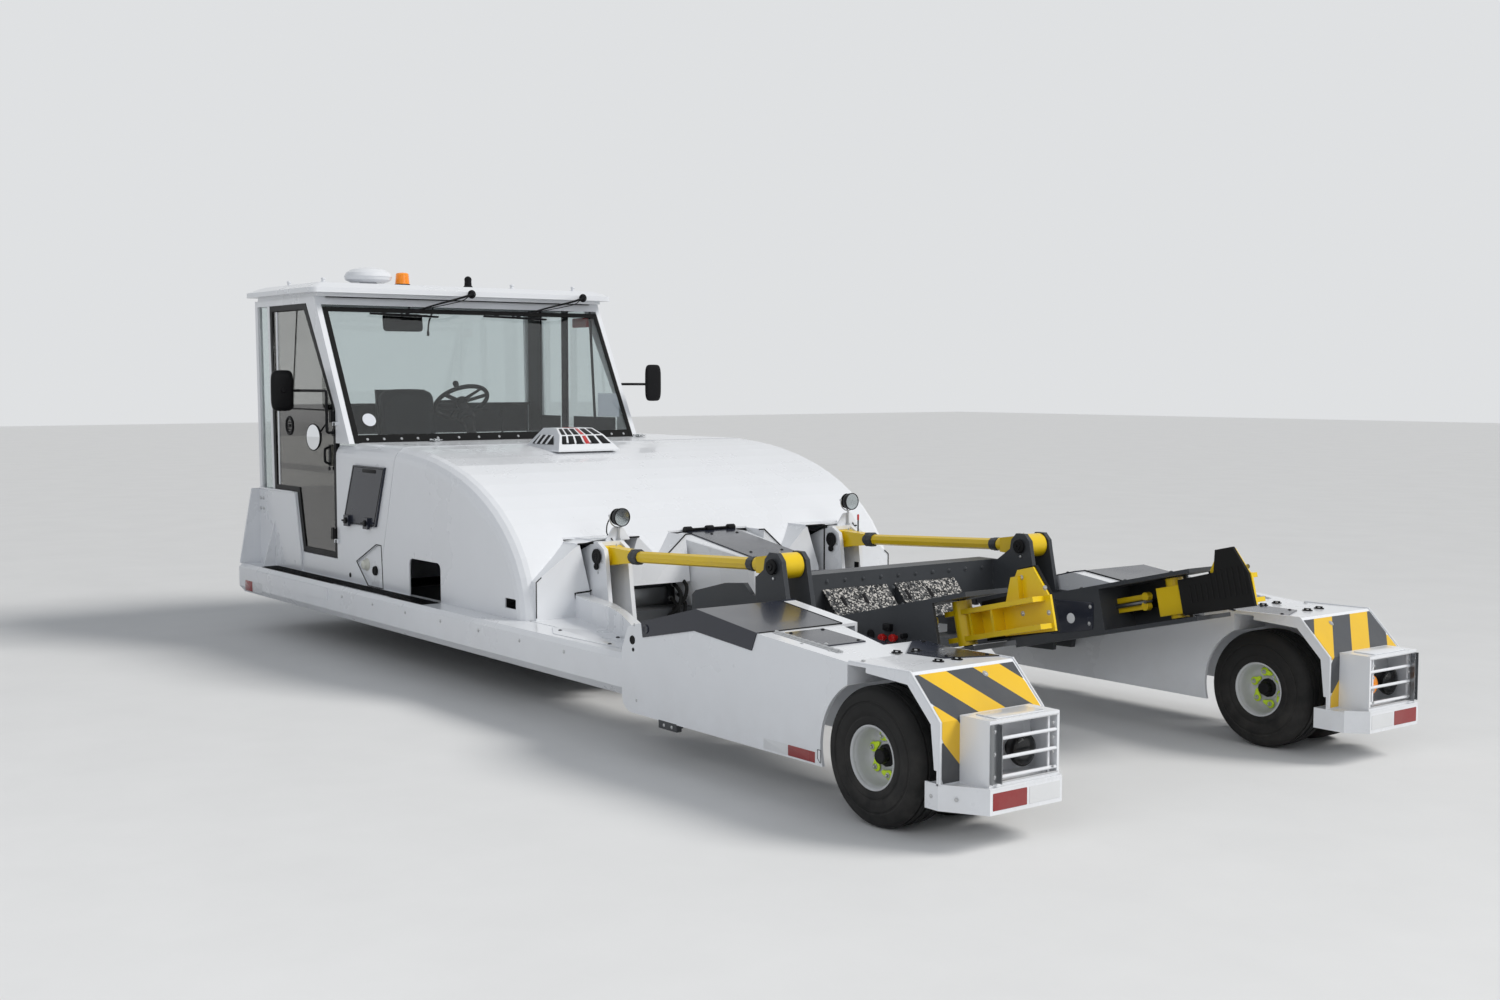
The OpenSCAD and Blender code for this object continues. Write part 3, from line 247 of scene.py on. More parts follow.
def dome_bolt(place, normal, r, h=None):
    """A domed bolt head on a washer: a lathe of a stepped quarter-round profile."""
    h = h or r * 0.75
    dome = [(h * (0.35 + 0.65 * np.sin(t)), max(r * np.cos(t), r * 0.05))
            for t in np.linspace(0, np.pi / 2, 4)]
    return lathe([(-1, r * 1.35), (h * 0.18, r * 1.35), (h * 0.22, r)] + dome, place, normal, 14)


def bolts(places, normal, r):
    """One dome bolt at each place, all facing one way."""
    return [dome_bolt(p, normal, r) for p in places]


def rod(a, b, r, sides=16):
    """A straight round bar between two places."""
    return tube(np.linspace(a, b, 3), r, sides)


def seam(points, r=4, steps=6):
    """A thin rubber bead along straight runs: a tube through points spaced evenly along each run."""
    p = np.asarray(points, float)
    t = np.linspace(0, 1, steps, endpoint=False)[:, None]
    runs = p[:-1, None] + (p[1:] - p[:-1])[:, None] * t[None]
    return tube(np.vstack([runs.reshape(-1, 3), p[-1:]]), r, 8)


def loop_seam(points, r):
    """A seam that comes back to its first point."""
    return seam(list(points) + [points[0]], r)


def plate_on(corners, thick, normal, r=4):
    """A thin rounded plate: its outline in space pushed out along a normal, its corners rounded."""
    c, n = np.asarray(corners, float), unit(normal)
    u = c[1] - c[0]
    u = unit(u - n * (u @ n))
    v = np.cross(n, u)
    flat = np.stack([(c - c[0]) @ u, (c - c[0]) @ v], 1)
    return slab(round_corners(flat, r), c[0], u, v, thick, min(1.2, thick * 0.4))


def panel(x0, x1, z0, z1, y, thick, r=3):
    """A thin upright plate on the door side's skin, facing +Y."""
    return plate_on([(x0, y, z0), (x1, y, z0), (x1, y, z1), (x0, y, z1)], thick, Y, r)


def both(parts):
    """Each part and its mirror image: y turned to -y and the faces turned round."""
    return list(parts) + [(p * (1, -1, 1), [tuple(face)[::-1] for face in f]) for p, f in parts]


def box_mm(node):
    """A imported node's lowest and highest corners in millimetres."""
    return [np.asarray(corner, float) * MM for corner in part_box(node)]


def foot_of(node):
    """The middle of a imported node's box, at its foot, in millimetres."""
    low, high = box_mm(node)
    return (low + high) / 2 * (1, 1, 0) + low * Z


def piece(name, parts, material, body="chassis", smooth=True, angle=35.0, covers=(), sheet=False):
    """Makes one mesh object from parts, gives it its material and lets it ride its body.

    Closed shells have their faces turned outwards; an open sheet keeps the way its faces were written.
    """
    points, faces = merged(parts)
    mesh = bpy.data.meshes.new(name)
    mesh.from_pydata((points / MM).tolist(), [], faces)
    mesh.validate()
    if not sheet:
        work = bmesh.new()
        work.from_mesh(mesh)
        bmesh.ops.recalc_face_normals(work, faces=work.faces)
        work.to_mesh(mesh)
        work.free()
    mesh.update()
    obj = bpy.data.objects.new(name, mesh)
    bpy.context.scene.collection.objects.link(obj)
    if smooth:
        mesh.polygons.foreach_set("use_smooth", np.ones(len(mesh.polygons), bool))
        mesh.set_sharp_from_angle(angle=np.radians(angle))
    mesh.materials.append(bpy.data.materials[material])
    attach(obj, body)
    if covers:
        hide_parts(*covers)
    return obj


# finishes


def group(name, inputs, outputs):
    """A shader node group with named sockets; returns it with what it takes in and what it gives out."""
    tree = bpy.data.node_groups.new(name, "ShaderNodeTree")
    for label, kind, value in inputs:
        tree.interface.new_socket(label, in_out="INPUT", socket_type=kind).default_value = value
    for label, kind in outputs:
        tree.interface.new_socket(label, in_out="OUTPUT", socket_type=kind)
    return tree, tree.nodes.new("NodeGroupInput").outputs, tree.nodes.new("NodeGroupOutput").inputs


def node(tree, kind, wires=(), **values):
    """Adds a node, sets its properties, and wires its inputs by name or number."""
    n = tree.nodes.new("ShaderNode" + kind)
    for key, value in values.items():
        setattr(n, key, value)
    for socket, source in dict(wires).items():
        if isinstance(source, bpy.types.NodeSocket):
            tree.links.new(source, n.inputs[socket])
        else:
            n.inputs[socket].default_value = source
    return n


def maths(tree, kind, *values, **more):
    """The result of a Math node."""
    return node(tree, "Math", dict(enumerate(values)), operation=kind, **more).outputs[0]


def ranged(tree, source, a, b, low=0.0, high=1.0, **more):
    """A value's range a to b turned to low to high."""
    wires = {"Value": source, "From Min": a, "From Max": b, "To Min": low, "To Max": high}
    return node(tree, "MapRange", wires, **more).outputs[0]


def noise(tree, scale, detail, rough=0.5):
    """Noise over the piece's own coordinates."""
    place = node(tree, "TexCoord").outputs["Object"]
    wires = {"Vector": place, "Scale": scale, "Detail": detail, "Roughness": rough}
    return node(tree, "TexNoise", wires).outputs["Fac"]


def upward(tree, vector):
    """The Z part of a vector."""
    return node(tree, "SeparateXYZ", {0: vector}).outputs["Z"]


def build_effects():
    """Shared effects: height dust, edge wear, fine grain and slow colour drift."""
    f, c = "NodeSocketFloat", "NodeSocketColor"

    t, i, o = group("road_dust", [("Height", f, 0.5), ("Amount", f, 0.5), ("Scale", f, 6.0)], [("Mask", f)])
    height = upward(t, node(t, "TexCoord").outputs["Object"])
    low = ranged(t, height, 0.0, i["Height"], 1.0, 0.0, interpolation_type="SMOOTHSTEP")
    patch = ranged(t, noise(t, i["Scale"], 8.0, 0.62), 0.38, 0.70)
    face = ranged(t, upward(t, node(t, "NewGeometry").outputs["Normal"]), -0.1, 1.0, 0.45, 1.0)
    mask = maths(t, "MULTIPLY", maths(t, "MULTIPLY", low, patch), face)
    t.links.new(maths(t, "MULTIPLY", mask, i["Amount"]), o["Mask"])

    t, i, o = group("edge_wear", [("Width", f, 0.004), ("Amount", f, 0.5), ("Scale", f, 30.0)], [("Mask", f)])
    soft = node(t, "Bevel", {"Radius": i["Width"]}, samples=4).outputs[0]
    hard = node(t, "NewGeometry").outputs["Normal"]
    dot = node(t, "VectorMath", {0: soft, 1: hard}, operation="DOT_PRODUCT").outputs["Value"]
    mask = maths(t, "MULTIPLY", ranged(t, dot, 0.985, 0.86),
                 ranged(t, noise(t, i["Scale"], 6.0, 0.7), 0.50, 0.60))
    t.links.new(maths(t, "MULTIPLY", mask, i["Amount"]), o["Mask"])

    t, i, o = group("fine_grain", [("Scale", f, 400.0), ("Wave", f, 0.4)], [("Height", f)])
    mix = node(t, "Mix", {0: i["Wave"], 2: noise(t, i["Scale"], 3.0), 3: noise(t, 14.0, 2.0)},
               data_type="FLOAT")
    t.links.new(mix.outputs[0], o["Height"])

    t, i, o = group("colour_drift", [("Colour", c, (1, 1, 1, 1)), ("Amount", f, 0.06), ("Scale", f, 1.6)],
                    [("Colour", c), ("Value", f)])
    cloud = noise(t, i["Scale"], 5.0, 0.6)
    k = maths(t, "ADD", maths(t, "MULTIPLY", ranged(t, cloud, 0.3, 0.7, -1.0, 1.0), i["Amount"]), 1.0)
    t.links.new(node(t, "VectorMath", {0: i["Colour"], "Scale": k}, operation="SCALE").outputs[0],
                o["Colour"])
    t.links.new(cloud, o["Value"])


def effect(tree, name, **values):
    """Places a shared effect group in a material with its own values; returns its outputs."""
    n = tree.nodes.new("ShaderNodeGroup")
    n.node_tree = bpy.data.node_groups[name]
    for key, value in values.items():
        n.inputs[key].default_value = value
    return n.outputs


def rgba(value):
    """A colour with full alpha."""
    return (*value, 1.0)


def blank(name, roughness, **sockets):
    """A Principled material with constant sockets set by name; the frame's own of that name is built anew."""
    mat = bpy.data.materials.get(name) or bpy.data.materials.new(name)
    mat.use_nodes = True
    tree = mat.node_tree
    tree.nodes.clear()
    shader = node(tree, "BsdfPrincipled", {"Roughness": roughness})
    node(tree, "OutputMaterial", {"Surface": shader.outputs[0]})
    for key, value in sockets.items():
        shader.inputs[key.replace("_", " ")].default_value = value
    return tree, shader


def mixed(tree, factor, a, b):
    """A colour mix of a and b by a factor socket."""
    return node(tree, "Mix", {0: factor, 6: a, 7: b}, data_type="RGBA").outputs[2]


def bumped(tree, shader, height, strength, distance):
    """Feeds a height to the shader's normal through a Bump node."""
    n = node(tree, "Bump", {"Height": height, "Strength": strength, "Distance": distance})
    tree.links.new(n.outputs[0], shader.inputs["Normal"])


def surface(name, base, roughness, dust=0.3, dust_high=0.6, drift=0.05, wear=0.0, worn=(0.3, 0.3, 0.3),
            grain=300.0, wave=0.3, bump=0.05, depth=0.0005, dusty=(0.33, 0.30, 0.26), vary=0.08, **sockets):
    """A painted or moulded surface: slow colour drift, dust low down, wear on edges, fine grain bump."""
    tree, shader = blank(name, roughness, **sockets)
    paint = effect(tree, "colour_drift", Colour=rgba(base), Amount=drift)
    col = paint["Colour"]
    if wear:
        col = mixed(tree, effect(tree, "edge_wear", Amount=wear)["Mask"], col, rgba(worn))
    film = effect(tree, "road_dust", Height=dust_high, Amount=dust)["Mask"]
    col = mixed(tree, film, col, rgba(dusty))
    tree.links.new(col, shader.inputs["Base Color"])
    dull = ranged(tree, paint["Value"], 0.3, 0.7, roughness - vary, roughness + vary)
    tree.links.new(maths(tree, "MULTIPLY_ADD", film, 0.5, dull, use_clamp=True), shader.inputs["Roughness"])
    bumped(tree, shader, effect(tree, "fine_grain", Scale=grain, Wave=wave)["Height"], bump, depth)
    return tree, shader, col


class TRACTOR_OT_finishes(bpy.types.Operator):
    """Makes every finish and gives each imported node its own"""
    bl_idname = "tractor.finishes"
    bl_label = "Finishes"

    def execute(self, context):
        s = context.scene.tractor_paint
        build_effects()
        surface("white_paint", s.white, 0.30, dust=0.35, dust_high=0.55, drift=0.025, bump=0.12, depth=0.0004,
                grain=260.0, wave=0.15, Coat_Weight=0.35, Coat_Roughness=0.06)
        surface("yellow_paint", s.yellow, 0.34, dust=0.25, dust_high=0.9, drift=0.06, wear=0.75,
                worn=(0.14, 0.13, 0.12), bump=0.15, Coat_Weight=0.12, Coat_Roughness=0.1)
        surface("dark_paint", s.dark, 0.42, dust=0.20, dust_high=0.9, drift=0.12, wear=0.5,
                worn=(0.22, 0.23, 0.24), bump=0.2, grain=220.0, Specular_IOR_Level=0.25)
        surface("black_trim", s.trim, 0.42, dust=0.03, drift=0.15, bump=0.25, grain=700.0, wave=0.05,
                Specular_IOR_Level=0.14)
        surface("dark_cover", s.cover, 0.24, dust=0.02, drift=0.12, bump=0.06,
                Specular_IOR_Level=0.4, Coat_Weight=0.2, Coat_Roughness=0.06)
        surface("black_rubber", s.rubber, 0.72, dust=0.12, dust_high=0.5, drift=0.2, bump=0.45, grain=500.0,
                dusty=(0.16, 0.15, 0.14), Specular_IOR_Level=0.2)
        surface("tyre_rubber", s.rubber, 0.68, dust=0.6, drift=0.2, bump=0.4, grain=420.0,
                dusty=(0.15, 0.14, 0.13), Specular_IOR_Level=0.25)
        surface("rim_grey", s.rim, 0.42, dust=0.5, dust_high=0.5, drift=0.08, bump=0.25, wear=0.3,
                worn=(0.2, 0.19, 0.18), dusty=(0.20, 0.18, 0.15))
        surface("seat_vinyl", (0.012, 0.013, 0.015), 0.55, dust=0.0, drift=0.1, bump=0.5, grain=380.0,
                depth=0.001, Specular_IOR_Level=0.15)
        # the second paper has a weak emission: a painted glow that stands in for light on the sheet inside the
        # cab
        for name, glow in (("blank_paper", {}), ("painted_glow_paper", dict(Emission_Color=(0.7, 0.75, 0.85, 1),
                                                                   Emission_Strength=0.30))):
            surface(name, (0.66, 0.68, 0.72), 0.7, dust=0.0, drift=0.03, bump=0.1, **glow)
        surface("red_strip", (0.45, 0.015, 0.015), 0.3, dust=0.1, Coat_Weight=0.3)
        surface("pale_knob", (0.62, 0.62, 0.55), 0.3, dust=0.2, Coat_Weight=0.3)
        surface("zinc", (0.55, 0.56, 0.57), 0.35, dust=0.2, drift=0.1, bump=0.2, Metallic=0.9)
        surface("steel", (0.30, 0.31, 0.32), 0.30, dust=0.1, drift=0.15, bump=0.15, Metallic=1.0)
        surface("nut_pointer", s.indicator, 0.45, dust=0.2)
        surface("amber_lens", s.amber, 0.14, dust=0.0, bump=0.03, Coat_Weight=0.6,
                Emission_Color=rgba(s.amber), Emission_Strength=0.12)
        surface("white_reflector", (0.70, 0.71, 0.72), 0.25, dust=0.25, drift=0.04, bump=0.5, grain=900.0)
        surface("red_reflector", s.reflector, 0.22, dust=0.25, drift=0.06, bump=0.5, grain=900.0,
                Coat_Weight=0.4)
        surface("red_knob", (0.55, 0.012, 0.010), 0.3, dust=0.1, drift=0.04, Coat_Weight=0.3)
        surface("yellow_tape", (0.78, 0.48, 0.02), 0.38, dust_high=0.8, drift=0.08, bump=0.6, grain=950.0)
        surface("dark_tape", (0.055, 0.060, 0.068), 0.36, dust=0.35, dust_high=0.8, drift=0.22, bump=0.6,
                grain=950.0)
        self.grip_plate()

        clear = dict(IOR=1.5, Transmission_Weight=1.0)
        for name, roughness, base, more in (
                ("clear_glass", 0.03, (0.74, 0.79, 0.79), clear),
                ("tinted_glass", 0.05, (0.40, 0.385, 0.365), clear),
                ("lamp_lens", 0.08, (0.72, 0.74, 0.76), dict(Metallic=0.85,
                                                             Emission_Color=(0.80, 0.83, 0.87, 1),
                                                            Emission_Strength=0.22)),
                ("mirror_face", 0.02, (0.82, 0.84, 0.86), dict(Metallic=1.0)),
                ("chrome", 0.08, (0.72, 0.73, 0.74), dict(Metallic=1.0))):
            tree, shader = blank(name, roughness, Base_Color=rgba(base), **more)
            bumped(tree, shader, effect(tree, "fine_grain", Scale=18.0, Wave=0.5)["Height"], 0.02, 0.0005)

        for part in frame["record"]["subparts"]:
            obj = frame["nodes"][part["node"]]
            slot = part["material_slot"]
            mat = bpy.data.materials["clear_glass" if slot == "glass" else slot]
            if not obj.material_slots:
                obj.data.materials.append(mat)
            for own in obj.material_slots:
                own.material = mat
        return {"FINISHED"}

    def grip_plate(self):
        """Speckled grip of the cradle's plates: random cells, dark below one threshold, pale above another."""
        tree, shader, col = surface("grip_plate", (0.10, 0.10, 0.10), 0.6, dust=0.1, bump=0.2)
        cells = node(tree, "TexVoronoi", {"Vector": node(tree, "TexCoord").outputs["Object"],
                                          "Scale": 125.0}).outputs
        pick = node(tree, "SeparateColor", {0: cells["Color"]}).outputs
        chips = mixed(tree, maths(tree, "LESS_THAN", pick[0], 0.50), col, (0.008, 0.009, 0.010, 1))
        chips = mixed(tree, maths(tree, "GREATER_THAN", pick[1], 0.74), chips, (0.52, 0.50, 0.47, 1))
        tree.links.new(chips, shader.inputs["Base Color"])
        bumped(tree, shader, cells["Distance"], 0.6, 0.002)


class TRACTOR_OT_stage(bpy.types.Operator):
    """Makes the pale floor, the soft lights, the background and the camera"""
    bl_idname = "tractor.stage"
    bl_label = "Studio"

    def execute(self, context):
        scene = context.scene
        link = scene.collection.objects.link
        tone = rgba(scene.tractor_paint.floor)
        half = 60.0  # metres from the middle to the floor's edge
        mesh = bpy.data.meshes.new("studio_floor")
        mesh.from_pydata([(x, y, 0.0) for y in (-half, half) for x in (-half, half)], [], [(0, 1, 3, 2)])
        floor = bpy.data.objects.new("studio_floor", mesh)
        link(floor)
        tree, shader = blank("studio_floor", 0.85, Base_Color=tone)
        grain = effect(tree, "colour_drift", Colour=tone, Amount=0.02)
        tree.links.new(grain["Colour"], shader.inputs["Base Color"])
        mesh.materials.append(bpy.data.materials["studio_floor"])

        def area(name, place, target, w, h, power, tint=(1, 1, 1)):
            """A rectangular lamp at a place, facing a target."""
            data = bpy.data.lights.new(name, "AREA")
            data.shape, data.size, data.size_y, data.energy, data.color = "RECTANGLE", w, h, power, tint
            obj = bpy.data.objects.new(name, data)
            link(obj)
            obj.location = place
            obj.rotation_euler = (Vector(target) - Vector(place)).to_track_quat("-Z", "Y").to_euler()
            return obj

        data = bpy.data.lights.new("soft_sun", "SUN")
        data.energy, data.angle, data.color = 2.2, np.radians(22.0), (1.0, 0.98, 0.95)
        sun = bpy.data.objects.new("soft_sun", data)
        link(sun)
        sun.visible_glossy = sun.visible_transmission = False
        sun.rotation_euler = Vector((6.5, 7.0, -9.0)).to_track_quat("-Z", "Y").to_euler()
        area("fill_light", (-6.0, 9.5, 6.0), (0, 0, 0.8), 8.0, 6.0, 240,
             (0.95, 0.97, 1.0)).visible_glossy = False
        area("rear_light", (-9.5, -1.0, 4.0), (-2, 0, 0.6), 5.0, 3.0, 90)

        world = scene.world = bpy.data.worlds.new("studio")
        world.use_nodes = True
        t = world.node_tree
        t.nodes.clear()
        ray = node(t, "LightPath").outputs
        seen = maths(t, "MAXIMUM", ray["Is Camera Ray"], ray["Is Transmission Ray"])
        seen = maths(t, "MAXIMUM", seen, ray["Is Glossy Ray"])
        light = node(t, "Background", {"Color": (0.86, 0.91, 0.98, 1), "Strength": 0.36}).outputs[0]
        pale = node(t, "Background", {"Color": (0.86, 0.875, 0.89, 1), "Strength": 0.86}).outputs[0]
        node(t, "OutputWorld", {"Surface": node(t, "MixShader", {0: seen, 1: light, 2: pale}).outputs[0]})

        data = bpy.data.cameras.new("camera")
        data.lens, data.sensor_width = 40.63, 36.0
        scene.camera = bpy.data.objects.new("camera", data)
        link(scene.camera)
        turn = Matrix(((-0.60217, 0.05645, -0.79637), (-0.79837, -0.04258, 0.60066), (0.0, 0.99750, 0.07071)))
        scene.camera.matrix_world = Matrix.Translation((-8.041, 5.789, 1.75)) @ turn.to_4x4()
        scene.view_settings.view_transform = "Standard"
        return {"FINISHED"}


class TRACTOR_OT_rear_wheels(bpy.types.Operator):
    """Makes the grooved twin tyres, their nuts and their pointers"""
    bl_idname = "tractor.rear_wheels"
    bl_label = "Rear wheels"

    def execute(self, context):
        hub_x, hub_z, outer = -3124, 279, 279
        deep = outer - context.scene.tractor_size.groove * MM
        half = [(85, 118), (94, 124), (101, 130), (104.5, 140), (105.5, 158), (103, 162), (103, 167),
                (105.5, 171), (107, 190), (106.8, 210), (103.5, 214), (103.5, 219), (106.6, 223),
                (105.5, 236), (102, 250), (95, 262), (85, 270), (74, 275)]
        for c in (60, 22):
            half += [(c + 6, outer - 1), (c + 4.5, deep), (c - 4.5, deep), (c - 6, outer)]
        profile = half + [(-a, b) for a, b in half[::-1]]
        dish = [(96, 118.5), (101, 121), (104, 125.5), (103.5, 129), (100, 130.5), (97, 129), (95.5, 126.5),
                (94, 121.5), (88, 116.5), (72, 113.5), (50, 111), (30, 105), (22, 98), (18.5, 90), (18.5, 56),
                (22, 54), (22, 30), (22, 1), (-30, 1), (-30, 100), (-80, 112), (-80, 117.5), (80, 117.5)]
        hexagon = [(12.5 * np.cos(a), 12.5 * np.sin(a)) for a in np.radians(np.arange(6) * 60.0)]
        for name, side in SIDES:
            body = "rear_wheels_" + name[0]
            tyres = [lathe(profile, (hub_x, side * y, hub_z), Y, 96, closed=True) for y in (1055, 1383)]
            piece("grooved_tyres_" + name, tyres, "tyre_rubber", body, covers=["rear_tyres_" + name])
            rims, hubs, nuts, tags = [], [], [], []
            for y, out in ((1383, side), (1055, -side)):
                centre, axis = np.array((hub_x, side * y, hub_z)), out * Y
                rims.append(lathe(dish, centre, axis, 72, closed=True))
                hubs.append(lathe([(20, 46), (30, 45), (34, 40), (36, 33), (62, 31), (66, 27), (66, 4)],
                                  centre, axis, 12))
                for t in np.radians(np.arange(6) * 60.0 + 17.0):
                    place = centre + axis * 18.5 + 78 * (np.cos(t) * X + np.sin(t) * Z)
                    nuts.append(slab(hexagon, place, X, Z, -18 * out, 1.5))
                    nuts.append(lathe([(0, 6), (26, 6), (28, 4)], place, axis, 12))
                    tags.append(self.pointer(place + axis * 6, t + 2.0 + 0.35 * np.sin(7 * t), axis))
            rims.append(lathe([(-150, 30), (150, 30)], (hub_x, side * 1219, hub_z), Y, 32))
            piece("rear_rims_" + name, rims, "rim_grey", body, covers=["rear_hubs_" + name])
            piece("rear_hub_caps_" + name, hubs, "black_trim", body, angle=25)
            piece("rear_wheel_nuts_" + name, nuts, "zinc", body)
            piece("rear_nut_pointers_" + name, tags, "nut_pointer", body)
        return {"FINISHED"}

    def pointer(self, place, turn, axis):
        """A teardrop ring: radius r(t) = 20.5 + 25 e^(-(t/0.40)^2) round a hole of 11.5, 9 mm thick."""
        t = np.linspace(-np.pi, np.pi, 28, endpoint=False)
        outer = 20.5 + 25 * np.exp(-(t / 0.40) ** 2)
        inner = np.full_like(t, 11.5)
        u = np.cos(turn) * X + np.sin(turn) * Z
        v = np.cross(axis, u)
        ring = lambda r, d: place + axis * d + (r * np.cos(t))[:, None] * u + (r * np.sin(t))[:, None] * v
        return rings([ring(inner, 0), ring(outer, 0), ring(outer, 4), ring(outer - 1.5, 6),
                      ring(inner + 1.5, 9), ring(inner, 8.5)], loop=True)


class TRACTOR_OT_fenders(bpy.types.Operator):
    """Makes the hazard stripes, edge lips, latches and bolts of the rear fenders"""
    bl_idname = "tractor.fenders"
    bl_label = "Rear fenders"

    def execute(self, context):
        stripe = context.scene.tractor_size.stripe * MM
        lean = 0.923  # how far a stripe moves across for each millimetre down the plate
        top, bend, foot = np.array(((-3352, 648), (-3515, 482), (-3515, 246)), float)
        slope = np.linalg.norm(bend - top)

        def spot(y, s, lift=1.2):
            """A place at width y and distance s down the bent plate, lifted off it along its normal."""
            s = np.asarray(s, float)
            k = np.clip(s / slope, 0, 1)[..., None]
            low = np.clip((s - slope) / np.linalg.norm(foot - bend), 0, 1)[..., None]
            x, z = np.moveaxis(top + (bend - top) * k + (foot - bend) * low, -1, 0)
            a = np.pi / 4 * (1 - np.clip((s - slope + 8) / 16, 0, 1))
            return np.stack([x - np.cos(a) * lift, np.broadcast_to(y, s.shape), z + np.sin(a) * lift], -1)

        s = np.concatenate([np.linspace(16, slope - 8, 14), np.linspace(slope - 4, slope + 4, 3),
                            np.linspace(slope + 10, slope + 232, 14)])
        bands = {"yellow_tape": [], "dark_tape": []}
        for k in range(-3, 4):
            edge = 1335 + stripe * k - lean * s
            y0, y1 = np.clip(edge, 957, 1483), np.clip(edge + stripe, 957, 1483)
            use = y1 - y0 > 0.01
            if use.sum() > 1:
                pts = np.stack([spot(y1[use], s[use]), spot(y0[use], s[use])], 1)
                faces = [f[::-1] for f in grid_faces(int(use.sum()), 2, close_cols=False)]
                bands["dark_tape" if k % 2 else "yellow_tape"].append((pts.reshape(-1, 3), faces))
        for name, parts in bands.items():
            piece("fender_" + name, both(parts), name, smooth=False, sheet=True)

        # raised rims along both edges and the fold at the fender's front
        rims = []
        for y in (944.5, 1493.5):
            path = spot(np.full(20, y), np.concatenate([[-360], np.linspace(0, slope + 235, 19)]), 2)
            path[0] = (-2995, y, 644)
            rims.append(tube(path, 4.2, 8))
        piece("fender_edge_rims", both(rims), "white_paint")

        latches, studs = [], []
        u, v = (0.93, 0.36, 0), (-0.36, 0.93, 0)
        for x, y in ((-2968, 1216), (-3228, 1232), (-3238, 1141), (-2982, 1124), (-2968, -1194),
                     (-2958, -1316), (-3214, -1201), (-3205, -1307)):
            z = 645.5 + max(0, -2990 - x) * 0.004
            latches += [slab(oblong(24, 13, 13), (x, y, z), u, v, 5, 2),
                        slab(oblong(17, 4, 4), (x, y, z + 4), u, v, 8, 1.5)]
            studs.append(lathe([(0, 8.5), (3.5, 8), (4.5, 6)], (x, y, z + 5), Z, 16))
        piece("fender_latches", latches, "black_trim")
        piece("fender_latch_studs", studs, "zinc")
        heads = [dome_bolt(spot(1135, [52], 1)[0], (-0.714, 0, 0.70), 10)]
        piece("fender_bolts", both(heads + bolts([(-3030, y, 645.5) for y in (1020, 1450)], Z, 7)), "zinc")
        return {"FINISHED"}


class TRACTOR_OT_lamp_boxes(bpy.types.Operator):
    """Makes the rear lamps, the guard channel, reflectors and the bumper's lip"""
    bl_idname = "tractor.lamp_boxes"
    bl_label = "Rear lamp boxes"

    def execute(self, context):
        y0, y1 = 1020, 1392
        shells, lenses, ambers, bowls = [], [], [], []
        for side, clear, orange in ((1, 1140, 1308), (-1, 1290, 1140)):
            for y, r, lens in ((clear, 60, lenses), (orange, 46, ambers)):
                turned = lambda profile: lathe([(a, r * b) for a, b in profile],
                                               (-3534, side * y, 350), -X, 40)
                shells.append(turned([(1, 0.55), (30, 0.8), (55, 1.04), (68, 1.07), (72, 1.04), (72, 0.97)]))
                bowls.append(turned([(71, 0.98), (55, 0.80), (47, 0.45), (46, 0.02)]))
                lens.append(turned([(70, 0.96)] + [(72 + 16 * np.sin(q), 0.96 * np.cos(q) + 0.5 / r)
                                                   for q in np.linspace(0, np.pi / 2, 7)]))
        piece("rear_lamp_shells", shells, "black_trim", covers=["lamp_units"])
        piece("rear_lamp_bowls", bowls, "lamp_lens")
        piece("rear_lamp_lenses", lenses, "clear_glass")
        piece("rear_indicator_lenses", ambers, "amber_lens")

        # folded guard channel at the outboard edge, with its screws, and the frame's lips
        channel = [(0, 0), (44, 0), (44, 22), (40, 22), (40, 4), (4, 4), (4, 14), (0, 14)]
        guards = [slab(channel, (-3672.2, y1 - 2, 264), -Y, -X, -222, 0.6)]
        screws = bolts([(-3678, y1 - 22, z) for z in (290, 375, 460)], -X, 6)
        screws += bolts([(-3672.5, y, z) for y in (y0 + 34, y1 - 60) for z in (288, 344, 400, 456)], -X, 4.5)
        lips = [block((-3673.5, y0 + 6, z), (-3665, y1 - 6, z + 5), 1) for z in (262.5, 483.5)]
        lid = round_corners([(y0 + 60, -3655), (y1 - 50, -3655), (y1 - 50, -3545), (y0 + 60, -3545)], 12)
        piece("lamp_guard_channels", both(guards), "steel", angle=20)
        piece("lamp_guard_screws", both(screws), "zinc")
        piece("lamp_box_lips", both(lips), "rim_grey")
        piece("lamp_box_lids", both([slab(lid, (0, 0, 500.4), Y, X, -4, 1)]), "white_paint")

        # bumper: raised lip round its top, reflectors on its rear face
        x = -3515
        edge = np.array([(x + 75, 1498), (x + 3, 1498), (x - 169, 1398), (x - 169, 1015), (x - 85, 940)])
        inner = edge + [(0, -9), (3, -10), (10, -8), (10, 4), (3, 9)]
        lip = [[(*o, 243.4), (*o, 251), (*i, 251), (*i, 243.4)] for o, i in zip(edge, inner)]
        piece("bumper_lips", both([rings(lip)]), "white_paint", smooth=False)
        for tone, a, b in (("red", 1205, 1384), ("white", 1026, 1192)):
            outline = round_corners([(a, 166), (b, 166), (b, 232), (a, 232)], 4)
            piece("bumper_%s_reflectors" % tone, both([slab(outline, (x - 169, 0, 0), Y, Z, -1.2, 0.4)]),
                  tone + "_reflector", smooth=False)
        heads = [dome_bolt((x - 60, 1464.8, 200), (-0.5, 0.86, 0), 6), dome_bolt((x + 40, 1498, 200), Y, 6)]
        piece("bumper_bolts", both(heads), "zinc")
        return {"FINISHED"}


